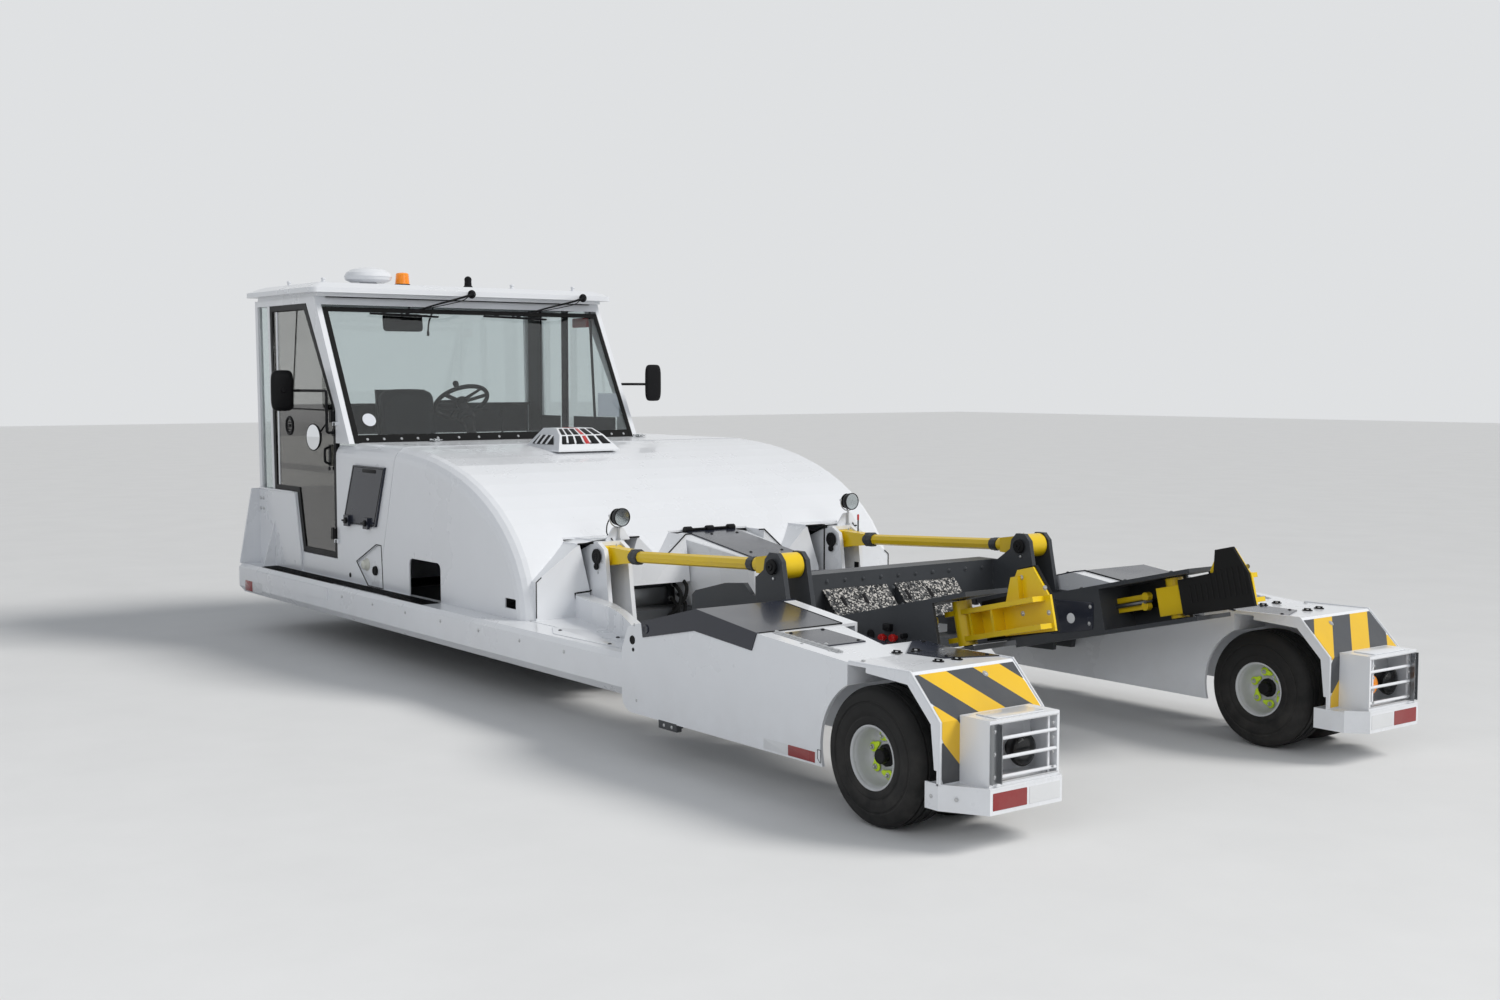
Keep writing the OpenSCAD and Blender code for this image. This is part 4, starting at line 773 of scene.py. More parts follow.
class TRACTOR_OT_arms(bpy.types.Operator):
    """Makes the bolts, hinge strips, reflectors, plates and plugs of the side arms"""
    bl_idname = "tractor.arms"
    bl_label = "Side arms"

    def execute(self, context):
        r = context.scene.tractor_size.bolt * MM
        black = bolts([(-2478, 1203, 682), (-2478, 1377, 682), (-2712, 1203, 665), (-2865, 975, 656),
                       (-3235, 972, 651), (-3165, 1130, 650), (-2990, 1150, 648)], Z, r)
        black += bolts([(-1600, 965, 654), (-1900, 965, 727), (-1600, 1060, 652), (-1900, 1060, 725)],
                       (-0.24, 0, 0.97), r)
        black += bolts([(-520, 1345, 456), (-900, 1235, 456), (-1060, 1385, 456)], Z, 11)
        piece("arm_black_bolts", both(black), "black_trim")
        bright = bolts([(-2712, 1377, 665)], Z, r * 1.1)
        bright += bolts([(-2448, 1432, 676.2), (-2640, 1448, 665), (-2800, 1432, 653.6)], Z, 6)
        bright += bolts([(-1700, 1498.5, 176), (-1762, 1498.5, 176)], Y, 6)
        bright += bolts([(-1455, 1498, 610), (-1470, 1498, 255)], Y, 5.5)
        piece("arm_bright_bolts", both(bright), "zinc")

        # long hinge of the battery cover: knuckles and gaps turned about one line
        steps = np.repeat(np.linspace(0, 440, 23), 2)[1:-1]
        knuckles = [(s, 4.8 if k // 2 % 2 else 6.5) for k, s in enumerate(steps)]
        hinge = lathe([(0, 1)] + knuckles + [(440.5, 1)], (-2410, 1404.5, 684.5), (-1, 0, -0.0714), 10)
        leaf = plate_on([(-2412, 1405, 682.2), (-2412, 1428, 682.2), (-2848, 1428, 651), (-2848, 1405, 651)],
                        1.6, (-0.0714, 0, 1), 3)
        piece("arm_cover_hinges", both([hinge, leaf]), "zinc", angle=20)

        # plug in the side skin, capped boss on the dark skirt, bracket under the lower edge
        plugs = [lathe([(0, 21.5), (3.5, 20.5), (4.5, 18), (2, 15.5), (1, 1)], (-1439, 1497.5, 537), Y, 28),
                 lathe([(0, 9.5), (2.5, 9), (3, 1)], (-1445, 1497.5, 492), Y, 16)]
        piece("arm_plugs", both(plugs), "black_rubber")
        boss = [lathe([(0, 21.5), (4, 21), (6, 17.5), (4.5, 15), (4.5, 1)], (-1561, 1502.5, 603), Y, 28)]
        piece("arm_skirt_bosses", both(boss), "dark_cover")
        brackets = [block((-1800, 1470, 157), (-1655, 1498.5, 197)),
                    block((-1770, 1440, 165), (-1685, 1472, 190))]
        piece("arm_lower_brackets", both(brackets), "dark_paint")

        piece("arm_white_reflectors", both([panel(-2447, -2612, 200, 245, 1497.8, 1.4)]), "white_reflector")
        piece("arm_red_reflectors", both([panel(-2614, -2790, 200, 245, 1497.8, 1.4),
                                          panel(3560, 3425, 275, 347, 1489.8, 1.2)]), "red_reflector")
        piece("sill_white_reflectors", both([panel(3420, 3245, 280, 347, 1489.8, 1.2)]), "white_reflector")
        outline = [(x, 1498.5, z) for x, z in ((-2806, 258), (-2806, 222), (-2822, 206), (-2826, 206),
                                               (-2826, 258))]
        piece("arm_mark_outlines", both([loop_seam(outline, 1.2)]), "black_trim")

        # bolted wedge plate where the arm leaves the ledge, and the rubber beads of the arm's cover
        wedge = round_corners([(-587, 1427), (-1198, 1402), (-596, 1226), (-384, 1314)], 20)
        piece("ledge_wedge_plates", both([slab(wedge, (0, 0, 456.2), X, Y, 2.8, 1)]), "white_paint")
        beads = [seam([(-1519, 1029.5, 631.5), (-1961, 1029.5, 739.5), (-2402, 1029.5, 686.5)], 2.8),
                 seam([(-2402, 1034, 686), (-2402, 1490, 684)], 2.5)]
        piece("arm_cover_beads", both(beads), "black_rubber")
        return {"FINISHED"}


class TRACTOR_OT_uprights(bpy.types.Operator):
    """Makes the seals, pin caps, work lamps, hoses and marker rod at the bonnet's rear"""
    bl_idname = "tractor.uprights"
    bl_label = "Uprights and lamps"

    lamps = ((757.5, 996), (-902.5, 1012))  # y and z of each work lamp

    def execute(self, context):
        runs = ((4.5, (903, 857.5), (1000, 856)),
                (4.5, (903, 857.5), (903, 600), (930, 592), (1020, 588), (1000, 470)),
                (4.5, (600, 875), (742, 875), (742, 600)), (4, (450, 730), (283, 871), (244, 871)),
                (3, (1262, 470), (1262, 664), (1230, 689)))
        piece("bonnet_rear_seals", both([seam([(-131.5, *q) for q in run], r) for r, *run in runs]),
              "black_rubber")

        cap = [(0, 42), (7, 42), (10, 39), (10, 20), (14, 16), (14, 7), (10, 6), (10, 1)]
        caps, screws = [], []
        for y, n in ((923.5, 1), (737.5, -1)):
            caps.append(lathe(cap, (-205, y, 790), n * Y, 32))
            caps.append(lathe([(a, b * 0.45) for a, b in cap], (-203, y, 735), n * Y, 20))
            screws += bolts([(-205 + 52 * np.cos(a), y - 8.5 * n, 790 + 52 * np.sin(a)) for a in (0.6, 3.7)],
                            n * Y, 6.5)
        piece("upright_pin_caps", both(caps), "black_trim")
        piece("upright_pin_screws", both(screws + bolts([(-202, 915.5, 700)], Y, 6)), "zinc")

        section = [(995, 851.5), (995, 857), (905, 869), (903, 874.5), (606, 879), (606, 873.5), (900, 868.5)]
        piece("bonnet_rear_caps", both([slab(section, (-130, 0, 0), Y, Z, 188, 0.8)]), "white_paint")
        feet = [plate_on([(-150, y + a, z) for a, z in ((-83, 866), (83, 866), (32, 940), (-32, 940))],
                          8, -X, 12)
                for y, _ in self.lamps]
        piece("work_lamp_feet", feet, "white_paint")
        self.work_lamps()
        self.lines()
        return {"FINISHED"}

    def work_lamps(self):
        """Two round lamps: a turned shell, bowl and lens about the X line, on a U bracket, post and foot."""
        shells, bowls, lenses, mounts = [], [], [], []
        bend = np.linspace(-0.15, np.pi + 0.15, 24)
        for y, z in self.lamps:
            turned = lambda profile, sides=40: lathe(profile, (-160, y, z), -X, sides)
            shells.append(turned([(-28, 1), (-28, 18), (-20, 24), (-10, 36), (10, 47), (30, 50.5), (44, 51.5),
                                  (45, 50), (44, 46.5), (40, 46.5), (30, 40), (12, 12), (11, 1)]))
            shells += [turned([(k, 30), (k, 45), (k + 3, 46), (k + 3, 30)], 32) for k in (-12, -2, 8)]
            bowls.append(turned([(42.5, 46), (34, 39.5), (24, 28), (18.5, 15), (17.5, 1), (16.5, 1),
                                 (17.5, 16), (23, 29), (33, 40.5), (41.5, 46.4)]))
            bowls.append(turned([(18, 1), (18, 6), (28, 6), (30, 4.5), (31, 1)], 16))
            lenses.append(turned([(40.5, 1), (40.5, 46.2), (42.5, 46.2), (44, 30), (44.5, 1)]))
            hoop = np.stack([np.full_like(bend, -163), y + 57.5 * np.cos(bend), z - 57.5 * np.sin(bend)], 1)
            mounts += [tube(hoop, 3.5, 8), rod((-163, y, z - 56), (-163, y, 868.5), 6.5, 12),
                       lathe([(0, 13), (8, 13), (10, 10), (10, 1)], (-163, y, 868.5), Z, 6)]
            mounts += [lathe([(0, 8), (5, 7.5), (6, 1)], (-163, y + n * 56.5, z + 8.5), n * Y, 12)
                       for n in (1, -1)]
        piece("work_lamp_shells", shells, "black_trim", covers=["work_lamps"])
        piece("work_lamp_bowls", bowls, "chrome")
        piece("work_lamp_lenses", lenses, "clear_glass")
        piece("work_lamp_mounts", mounts, "zinc")

    def lines(self):
        """Cables and hydraulic hoses along smooth curves, the fairing's hinge, valve covers and marker rod."""
        cables = [pipe([(-134, y, z), (-118, y + 12 * s, z + 4), (-105, y + 35 * s, z - 40),
                        (-122, y + 50 * s, z - 90), (-150, y + 46 * s, 885), (-170, y + 40 * s, 866)], 28,
                       3.5)
                  for s, (y, z) in zip((1, -1), self.lamps)]
        piece("work_lamp_cables", cables, "black_rubber")
        hoses, ends = [], []
        route = ((-40, -20, 20), (-105, 0, 12), (-165, 10, -30), (-175, 40, -100), (-120, 80, -155),
                 (-60, 100, -170))
        for start in ((0, 290, 600), (0, 330, 560), (0, 300, 500), (0, 350, 480)):
            path = smooth_path(np.add(route, start), 30)
            for side in (1, -1):
                q = path * (1, side, 1)
                hoses.append(tube(q, 11, 10))
                ends += [rod(q[0], q[2], 14.5, 6), rod(q[-3], q[-1], 14.5, 6)]
        piece("lift_hoses", hoses, "black_rubber")
        piece("lift_hose_ends", ends, "zinc")

        bar = [block((22, -172, 866), (44, 172, 872), 2)]
        bar += [lathe([(0, 1), (0, 17), (4, 19), (46, 19), (50, 17), (50, 1)], (32, y - 25, 879), Y, 24)
                for y in (-155, 0, 155)]
        bar.append(rod((32, -172, 879), (32, 172, 879), 8))
        bar += bolts([(-75, 60, 856.8), (-80, -120, 856.2), (-520, 110, 790), (-520, -110, 790)],
                     (-0.15, 0, 0.99), 8)
        piece("fairing_lid_hinge", bar, "black_trim")
        cover = plate_on([(89.5, y, z) for y, z in ((270, 360), (520, 360), (520, 550), (270, 550))], 12, -X,
                         20)
        piece("lift_valve_covers", both([cover]), "steel")
        stalk = [rod((-262, -900, 600), (-262, -900, 905), 4.5, 10),
                 block((-282, -912, 590), (-240, -889.5, 650))]
        piece("marker_rod", stalk, "black_trim")
        tip = lathe([(0, 1), (0, 6.5), (30, 6.5), (34, 4), (35, 1)], (-262, -900, 903), Z, 14)
        piece("marker_rod_tip", [tip], "red_knob")


class TRACTOR_OT_links(bpy.types.Operator):
    """Makes the collars, faceted sleeves, pin caps and grease nipples of the lift links"""
    bl_idname = "tractor.links"
    bl_label = "Lift links"

    def execute(self, context):
        for name, side in SIDES:
            a, b = np.array((-205, side * 830, 790)), np.array((-1759.9, side * 830, 870.1))
            d = unit(b - a)
            body = "upper_link_" + name[0]
            sleeve = lathe([(288, 28.5), (290, 31), (1262, 31), (1264, 28.5)], a, d, 8)
            piece("upper_link_sleeve_" + name, [sleeve], "yellow_paint", body, smooth=False)
            collars = [lathe(profile, a, d, 10) for profile in (
                [(218, 34), (219, 40), (224, 42.5), (250, 42.5), (254, 40), (258, 43.5), (282, 43.5),
                 (287, 40), (288, 30)],
                [(1264, 30), (1266, 34.5), (1286, 34.5), (1290, 37.5), (1312, 37.5), (1315, 34)])]
            piece("upper_link_collars_" + name, collars, "dark_paint", body, angle=20)
            nipples = [lathe([(0, 5), (6, 5), (8, 3), (13, 3), (14, 1)], a + d * s + 52 * Z, Z, 10)
                       for s in (50, 1500)]
            piece("upper_link_nipples_" + name, nipples, "zinc", body)
        # pin ends in the cradle's lugs: a stepped black cap and a keeper screw
        caps, keepers = [], []
        for y, n in ((923.5, 1), (736.5, -1)):
            caps.append(lathe([(0, 38), (7, 38), (11, 34), (11, 19), (16, 17), (16, 7), (12, 6), (12, 1)],
                              (-1759.9, y, 870.1), n * Y, 32))
            keepers.append(lathe([(0, 7.5), (5, 7), (6, 1)], (-1765, y - 8.5 * n, 815), n * Y, 6))
        piece("cradle_pin_caps", both(caps), "black_trim", "cradle")
        piece("cradle_pin_screws", both(keepers), "zinc", "cradle")
        return {"FINISHED"}


class TRACTOR_OT_cradle(bpy.types.Operator):
    """Makes the knobs, slots, link rods, bolts, hoses and buffers of the cradle and its gates"""
    bl_idname = "tractor.cradle"
    bl_label = "Cradle and gates"

    def execute(self, context):
        y = 850
        knobs = [lathe([(0, 10), (12, 10), (13, 16.5), (20, 18), (30, 16.5), (34, 15), (35, 1)], q, Y, 24)
                 for q in ((-2487, y, 618), (-2557, y, 625))]
        piece("cradle_red_knobs", both(knobs), "red_knob", "cradle")
        sockets = [block((-2535, y - 0.5, 650), (-2490, y + 22, 682), 4),
                   lathe([(0, 24), (5, 23.5), (6, 16.5), (3, 15), (3, 1)], (-2389, y, 618), Y, 24),
                   lathe([(0, 13), (26, 12), (28, 1)], (-2620, y, 640), Y, 16)]
        piece("cradle_sockets", both(sockets), "black_trim", "cradle")

        # slotted holes of the speckled plates as thin black ovals of painted shade, and the bolts between
        n, v = np.array((-0.7314, 0, 0.6820)), np.array((0.6820, 0, 0.7314))
        middle = lambda q: np.array((-1620.5, q, 649))
        # each slot is a thin black oval laid on the plate: painted shade for the hole's dark inside
        slots = [slab(oblong(11, 30, 11), middle(q) + n * 0.5, Y, v, -1.2, 0.5)
                 for q in (360, 215, -75, -230)]
        piece("cradle_plate_slot_shades", slots, "black_trim", "cradle")
        heads = bolts([middle(q) + v * s for q in (430, 285, 145, -5, -150, -300, -430)
                       for s in (-55.8, 55.8)], n, 7.5)
        heads += bolts([(-1560.5, q, 745) for q in np.linspace(-660, 660, 12)], -X, 9)
        for side in (1, -1):
            for q, row in ((826, (-1980, -2150, -2320, -2490, -2660, -2830)),
                           (628, (-2020, -2300, -2580, -2860))):
                beam = [(x, side * q, 683.6 + (-2200 - x) * 0.2364) for x in row]
                heads += bolts(beam, (-0.2301, 0, 0.9732), 8.5)
        piece("cradle_bolts", heads, "dark_paint", "cradle")

        # dark cover with bolts and a blank disc on the beams' inner faces
        rim = [(-2112, 635), (-2405, 652), (-2405, 512), (-2115, 456)]
        covers, discs, studs = [], [], []
        for side in (1, -1):
            inward = -side * Y
            covers.append(plate_on([(x, side * 599.5, z) for x, z in rim], 3.5, inward, 18))
            discs.append(lathe([(0, 26), (1.6, 26), (2.2, 24), (2.2, 1)], (-2259, side * 596.2, 554), inward,
                               32))
            studs += bolts([(x, side * 596.2, z) for x, z in ((-2140, 600), (-2385, 625), (-2380, 540),
                                                              (-2140, 490))],
                           inward, 7.5)
        piece("beam_covers", covers, "dark_cover", "cradle")
        piece("beam_cover_discs", discs, "white_reflector", "cradle")
        piece("beam_cover_bolts", studs, "zinc", "cradle")

        # gate actuators in the beams' windows: a yellow rod pair with eyes, hoses and a steel core
        rods, cores, hoses = [], [], []
        bar = [(0, -14), (250, -14), (250, 14), (0, 14)]
        for side in (1, -1):
            a, b = np.array((-2405, side * 715, 612)), np.array((-2660, side * 715, 672))
            d = unit(b - a)
            for lift in (-22 * Z, 26 * Z):
                rods += [slab(bar, a + lift - 10 * Y, d, Z, -20, 3),
                         lathe([(-16, 1), (-16, 21), (16, 21), (16, 1)], a + d * 245 + lift, Y, 20)]
            cores += [tube([a + d * 10, a + d * 130, a + d * 235], 12, 14),
                      lathe([(0, 1), (0, 9), (52, 9), (52, 1)], b - d * 10 - 26 * Y, Y, 16)]
            hoses += [pipe([(-2418, side * 800, 585 + z), (-2500, side * 812, 600 + z),
                            (-2610, side * 808, 640 + z), (-2720, side * 815, 668 + z)], 24, 8)
                      for z in (0, 20)]
        piece("gate_actuator_rods", rods, "yellow_paint", "cradle")
        piece("gate_actuator_cores", cores, "steel", "cradle")
        piece("gate_hoses", hoses, "black_rubber", "cradle")
        self.gates()
        return {"FINISHED"}

    def gates(self):
        """Bolts and ribs of the gates: a bead across the pad every 32 mm along it, longer past 160 mm."""
        slope, square = np.array((-0.9732, 0, 0.2301)), np.array((0.2301, 0, 0.9732))
        for name, side in SIDES:
            ribs = []
            for s in np.arange(60, 400, 32):
                c = np.array((-2905, side * 640.8, 735)) + slope * s
                a, b = c - square * 45, c + square * (35 if s < 160 else 85)
                ribs.append(tube([a, (a + b) / 2, b], 4.5, 6))
            piece("gate_pad_ribs_" + name, ribs, "black_rubber", "gate_" + name[0])
            heads = bolts([(x, side * 669.2, z) for x, z in ((-3285, 800), (-3262, 900), (-3130, 930),
                                                             (-3140, 780))],
                          side * Y, 8)
            piece("gate_bolts_" + name, heads, "zinc", "gate_" + name[0])


class TRACTOR_OT_cab(bpy.types.Operator):
    """Makes the windscreen border, wipers, roof fittings, door, flap, guards and step of the cab"""
    bl_idname = "tractor.cab"
    bl_label = "Cab outside"

    foot = np.array((2111.8, 0, 1342))
    up = np.array((0.4819, 0, 0.8762))
    out = np.array((-0.8762, 0, 0.4819))

    def on_screen(self, y, s, lift=0):
        """A place on the windscreen's outer face: foot + s up the glass, y across, lifted off it."""
        return self.foot + self.up * s + y * Y + self.out * lift

    def execute(self, context):
        self.screen(context)
        self.roof()
        self.door()
        self.mirrors()
        self.front_side()
        self.guards()
        self.cowl()
        return {"FINISHED"}

    def screen(self, context):
        """Rubber border, studs, blank disc and the two parked wipers."""
        border = [plate_on([self.on_screen(*q) for q in ((y0, s0), (y1, s0), (y1, s1), (y0, s1))], 3,
                           self.out, 6)
                  for y0, y1, s0, s1 in ((1293.5, 1256.5, 2, 1015), (-823.5, -790, 2, 1015),
                                         (1256.5, -790, 980, 1015), (1256.5, -790, 2, 62))]
        piece("windscreen_border", border, "black_rubber")
        across = (1200, 1085, 962, 847, 702, 548, 400, 246, 100, -50, -200, -350, -500, -650, -750)
        piece("windscreen_studs", bolts([self.on_screen(y, 30, 3) for y in across], self.out, 6.5), "zinc")
        disc = lathe([(0, 46), (1, 45.5), (1.2, 1)], self.on_screen(1155, 172, 0.4), self.out, 36)
        piece("windscreen_disc", [disc], "blank_paper")

        span, half = context.scene.tractor_size.wiper * MM, np.array((8, 14, 8))
        parts = []
        for y0, y1 in ((240, 720), (-655, -130)):
            pivot = np.array((2508.5, y0, 2340))
            mid = self.on_screen(y1, 955, 30)
            elbow = pivot + (-22, 100 * np.sign(y1 - y0), -30)
            a, b = self.on_screen(y1 + span / 2, 965, 16), self.on_screen(y1 - span / 2, 950, 16)
            blade, bow = np.linspace(a, b, 8), 6 * np.sin(np.linspace(0, np.pi, 8))
            parts += [lathe([(0, 1), (0, 21), (12, 20), (22, 13), (26, 1)], pivot, (-1, 0, 0.3), 20),
                      lathe([(0, 1), (0, 30), (4, 30), (5, 1)], pivot, -X, 20),
                      pipe([pivot + (-18, 0, 0), elbow, (elbow + mid) / 2 + (-6, 0, 4), mid], 18,
                           np.linspace(8.5, 5, 18)),
                      pipe([pivot + (-16, 30, -18), elbow + (0, 30, -30), mid + (2, 35, 4)], 14, 3.2, 6),
                      tube(blade + bow[:, None] * self.out, 5.2, 6), tube(blade - self.out * 9, 4.2, 6)]
            parts += [block(q - half, q + half, 2) for q in (a + (b - a) * f for f in (0.2, 0.5, 0.8))]
        piece("windscreen_wipers", parts, "black_trim")

    def roof(self):
        """Lifting knobs, antenna, ribbed beacon lens and dome seam."""
        knob = [(0, 1), (0, 20), (5, 20), (7, 12), (18, 12), (22, 15.5), (30, 15), (34, 9), (35, 1)]
        places = ((3226, 1262, 2393.5), (2640, 1262, 2392.5), (2640, -148, 2393), (2640, -650, 2393),
                  (3500, -700, 2393.5))
        piece("roof_knobs", [lathe(knob, q, Z, 24) for q in places], "white_paint")
        mast = [(0, 1), (0, 34), (12, 33), (20, 26), (50, 24)]
        mast += [(60 + 26 * np.sin(q), max(26 * np.cos(q), 1)) for q in np.linspace(0, np.pi / 2, 8)]
        piece("roof_antenna", [lathe(mast, (2750, 141, 2393.5), Z, 28)], "black_trim")

        c, t = foot_of("beacon"), np.linspace(0, 1, 61)
        wall = np.stack([24 + 70 * t, 50.5 - 6 * t + 0.9 * np.sign(np.sin(t * 2 * np.pi * 10))], 1).tolist()
        top = [(96, 43), (101, 38), (104.5, 26), (105.5, 1)]
        inside = [(102.5, 1), (98.5, 35), (93, 40), (25, 46)]
        piece("beacon_lens", [lathe(wall + top + inside, c, Z, 48)], "amber_lens", angle=20,
              covers=["beacon"])
        base = [(0, 1), (0, 56), (10, 56), (14, 54.5), (24, 53.5), (26, 50), (26, 1)]
        piece("beacon_base", [lathe(base, c, Z, 40)], "black_trim")
        piece("beacon_core", [lathe([(26, 1), (26, 20), (70, 17), (74, 1)], c, Z, 20)], "chrome")

        c = foot_of("roof_dome")
        ring = [lathe([(64, 160.5), (64, 163.2), (69, 163.2), (69, 160.5)], c, Z, 64, closed=True)]
        for q in (0.5, 2.6, 4.7):
            n = np.cos(q) * X + np.sin(q) * Y
            ring.append(dome_bolt(c + 48 * n + 12 * Z, n, 5))
        piece("dome_seam", ring, "white_paint")

    def door(self):
        """Film, handle, hinge covers, round vent, window seals and post."""
        film = [(2366, 631), (2896, 631), (2984, 1025), (3380, 1025), (3380, 1556), (2368, 1548)]
        piece("door_film", [slab(film, (0, 1321.2, 0), X, Z, 0.8, 0.2)], "tinted_glass", "door", smooth=False)
        grip = [(2420, 1333, 1205), (2420, 1362, 1220), (2420, 1366, 1260), (2420, 1362, 1300),
                (2420, 1333, 1315)]
        handle = [block((2405, 1327.5, 1190), (2435, 1334, 1330)), pipe(grip, 20, 8.5, 10),
                  lathe([(0, 14), (6, 13), (8, 6), (8, 1)], (2420, 1333, 1175), Y, 20)]
        piece("door_handle", handle, "black_trim", "door")
        leaves = [block((2337, 1341.5, z - 4), (2372, 1353.5, z + 74)) for z in (720, 1480)]
        feet = [block((2300, 1330, z - 26), (2334, 1347, z - 3)) for z in (720, 1480)]
        piece("door_hinge_leaves", leaves, "black_trim", "door")
        piece("door_hinge_feet", feet, "black_trim")

        c = (3116, 1320.2, 1439)
        vent = [lathe([(0, 52), (0, 66), (6, 66), (9, 60), (9, 53), (5, 50), (0, 50)], c, Y, 40, closed=True)]
        for k in np.linspace(-40, 40, 6):
            w = np.sqrt(52 ** 2 - k ** 2)
            vent.append(slab([(-w, -4.5), (w, -4.5), (w, 4.5), (-w, 4.5)], (3116, 1322.5, 1439 + k), X,
                             (0, 0.5, 0.87), -1.8, 0.5))
        vent.append(lathe([(0, 14), (7, 13), (7.5, 1)], c, Y, 20))
        piece("door_vent", vent, "black_trim", "door")

        pane = ((2362, 627), (2899, 627), (2987, 1021), (3383.5, 1021), (3380, 2220), (2822, 2220),
                (2362, 1549))
        seals = [loop_seam([(x, 1321.5, z) for x, z in pane], 5),
                 seam([(2366, 1322.2, 1552), (3381, 1322.2, 1559)], 5),
                 seam([(3059, 1322.2, 1559), (2950, 1322.2, 2218)])]
        piece("door_seals", seals, "black_rubber", "door")
        piece("door_window_post", [block((3296, 1320.3, 1026), (3316, 1326.5, 2218))], "white_paint", "door")

    def mirror(self, y, z, wide, high, x0, x1):
        """A rounded shell and its glass, on the side of the cab end.

        A squashed square: y + wide sign(cos t) |cos t|^0.42 and z + high sign(sin t) |sin t|^0.42.
        """
        t = np.linspace(0, 2 * np.pi, 40, endpoint=False)
        square = lambda a: np.sign(a) * np.abs(a) ** 0.42
        section = lambda x, k: np.stack([np.full_like(t, x), y + square(np.cos(t)) * wide * k,
                                         z + square(np.sin(t)) * high * k], 1)
        shell = ((x0, 0.62), (x0 + 2, 0.80), (x0 + 8, 0.93), (x0 + 16, 1), (x1, 1), (x1, 0.93),
                 (x1 - 4, 0.91))
        face = ((x1 - 4, 0.905), (x1 - 1, 0.905), (x1 - 0.5, 0.88))
        return [rings([section(*q) for q in rows]) for rows in (shell, face)]

    def mirrors(self):
        """Both mirrors on their bent arms, and a small round one on the upright part, facing outwards."""
        shell, face = self.mirror(1498, 1680, 76, 135, 2770, 2800)
        arm = [(2347, 1332, 1410), (2347, 1372, 1412), (2347, 1380, 1440), (2347, 1380, 1560),
               (2347, 1380, 1655), (2365, 1380, 1680), (2420, 1380, 1680), (2600, 1380, 1680),
               (2740, 1380, 1680), (2776, 1392, 1680), (2781, 1430, 1680)]
        bowl = [(0, 1), (0, 30), (6, 55), (16, 78), (30, 88), (36, 88), (37, 84), (34, 82), (34, 1)]
        c, n = (2440, 1402, 1380), (-0.127, 0.992, 0)
        shells = [shell, lathe([(0, 16), (10, 16), (14, 11), (14, 1)], (2770, 1498, 1680), -X, 20),
                  pipe(arm, 60, 9.2, 12), block((2335, 1328, 1388), (2367, 1337, 1432)),
                  lathe(bowl, c, n, 40), rod((2353, 1380, 1470), (2432, 1404, 1392), 6, 10)]
        glass = lathe([(34, 1), (34, 81.5), (36.5, 81.5), (44, 55), (48, 28), (49, 1)], c, n, 40)
        piece("mirror_shells_left", shells, "black_trim", "door", covers=["mirror_left"])
        piece("mirror_faces_left", [face, glass], "mirror_face", "door")

        shell, face = self.mirror(-985, 1730, 65, 130, 2075, 2100)
        arm = [(2098, -970, 1720), (2200, -970, 1720), (2330, -970, 1720), (2368, -955, 1720),
               (2370, -905, 1720), (2370, -860.5, 1720)]
        shells = [shell, pipe(arm, 40, 9.2, 12), lathe([(0, 24), (8, 22), (10, 1)], (2370, -860.3, 1720), -Y,
                                                       20),
                  lathe([(0, 16), (12, 14), (14, 1)], (2100, -970, 1720), X, 20)]
        piece("mirror_shells_right", shells, "black_trim", covers=["mirror_right"])
        piece("mirror_faces_right", [face], "mirror_face")

    def front_side(self):
        """Charge flap latches, the knob beside it and the bead, plug and socket of the side recess."""
        frame = [(x, 1345.2, z) for x, z in ((1583, 1203), (2020, 1203), (2183, 843), (1733, 847))]
        latches = [panel(1690, 1890, 1172, 1196, 1345.1, 1.5, 11), loop_seam(frame, 2.2)]
        for x in (1825, 2115):
            latches += [lathe([(0, 1), (0, 20), (6, 20), (9, 17), (10, 1)], (x, 1362.5, 856), Y, 24),
                        block((x - 30, 1369, 850), (x + 30, 1379, 862))]
        piece("flap_latches", latches, "black_trim", "flap")
        knob = [(0, 1), (0, 40), (4, 40), (10, 34), (20, 31), (30, 26), (34, 15), (35, 1)]
        piece("side_knob", [lathe(knob, (1905, 1314.5, 588), Y, 32)], "pale_knob")
        bead = [(x, 1330.5, z) for x, z in ((1735, 728), (2030, 600), (1860, 460), (1640, 460), (1660, 728))]
        recess = [loop_seam(bead, 3), lathe([(0, 16), (2, 15.5), (2.2, 1)], (2130, 1329.9, 502), Y, 20),
                  lathe([(0, 30), (12, 29), (16, 24), (10, 20), (8, 1)], (1775, 1314.8, 560), Y, 28)]
        piece("side_recess_bead", recess, "black_rubber")

    def guards(self):
        """Rims and bolts of the front guards, and the bars of the step's grating."""
        line = ((2910, 500), (2911, 585), (2930, 665), (2990, 935), (3010, 975), (3060, 986), (3300, 986),
                (3640, 986))
        low, high = box_mm("step_grating")
        rims, heads, bars = [], [], []
        for side in (1, -1):
            y = side * 1339.5
            rims += [pipe([(x, y, z) for x, z in line], 60, 7.5, 10),
                     rod((3654, side * 1391, 983), (3654, side * 1486, 462), 7, 10)]
            heads += bolts([(x, y, z) for x in (3575, 3625) for z in (845, 917)], side * Y, 9)
            along = (3224, 2794, 2356, 1900, 1450, 1000, 550, 100, -350, -800)
            heads += bolts([(x, side * 1490.5, 398) for x in along], side * Y, 7.5)
            bars += [slab([(0, 0), (3, 0), (3, 5.5), (0, 5.5)], (x, side * 1348, 456.5), X, Z, -106 * side,
                          0.4)
                     for x in np.arange(low[0] + 20, high[0] - 20, 30)]
            bars += [slab([(0, 0), (4, 0), (4, 3.5), (0, 3.5)], (low[0] + 10, side * y, 457), Y, Z,
                          high[0] - low[0] - 20, 0.4) for y in (1365, 1388, 1411, 1434)]
        piece("guard_rims", rims, "white_paint")
        piece("guard_bolts", heads, "zinc")
        piece("step_bars", bars, "black_trim", smooth=False)

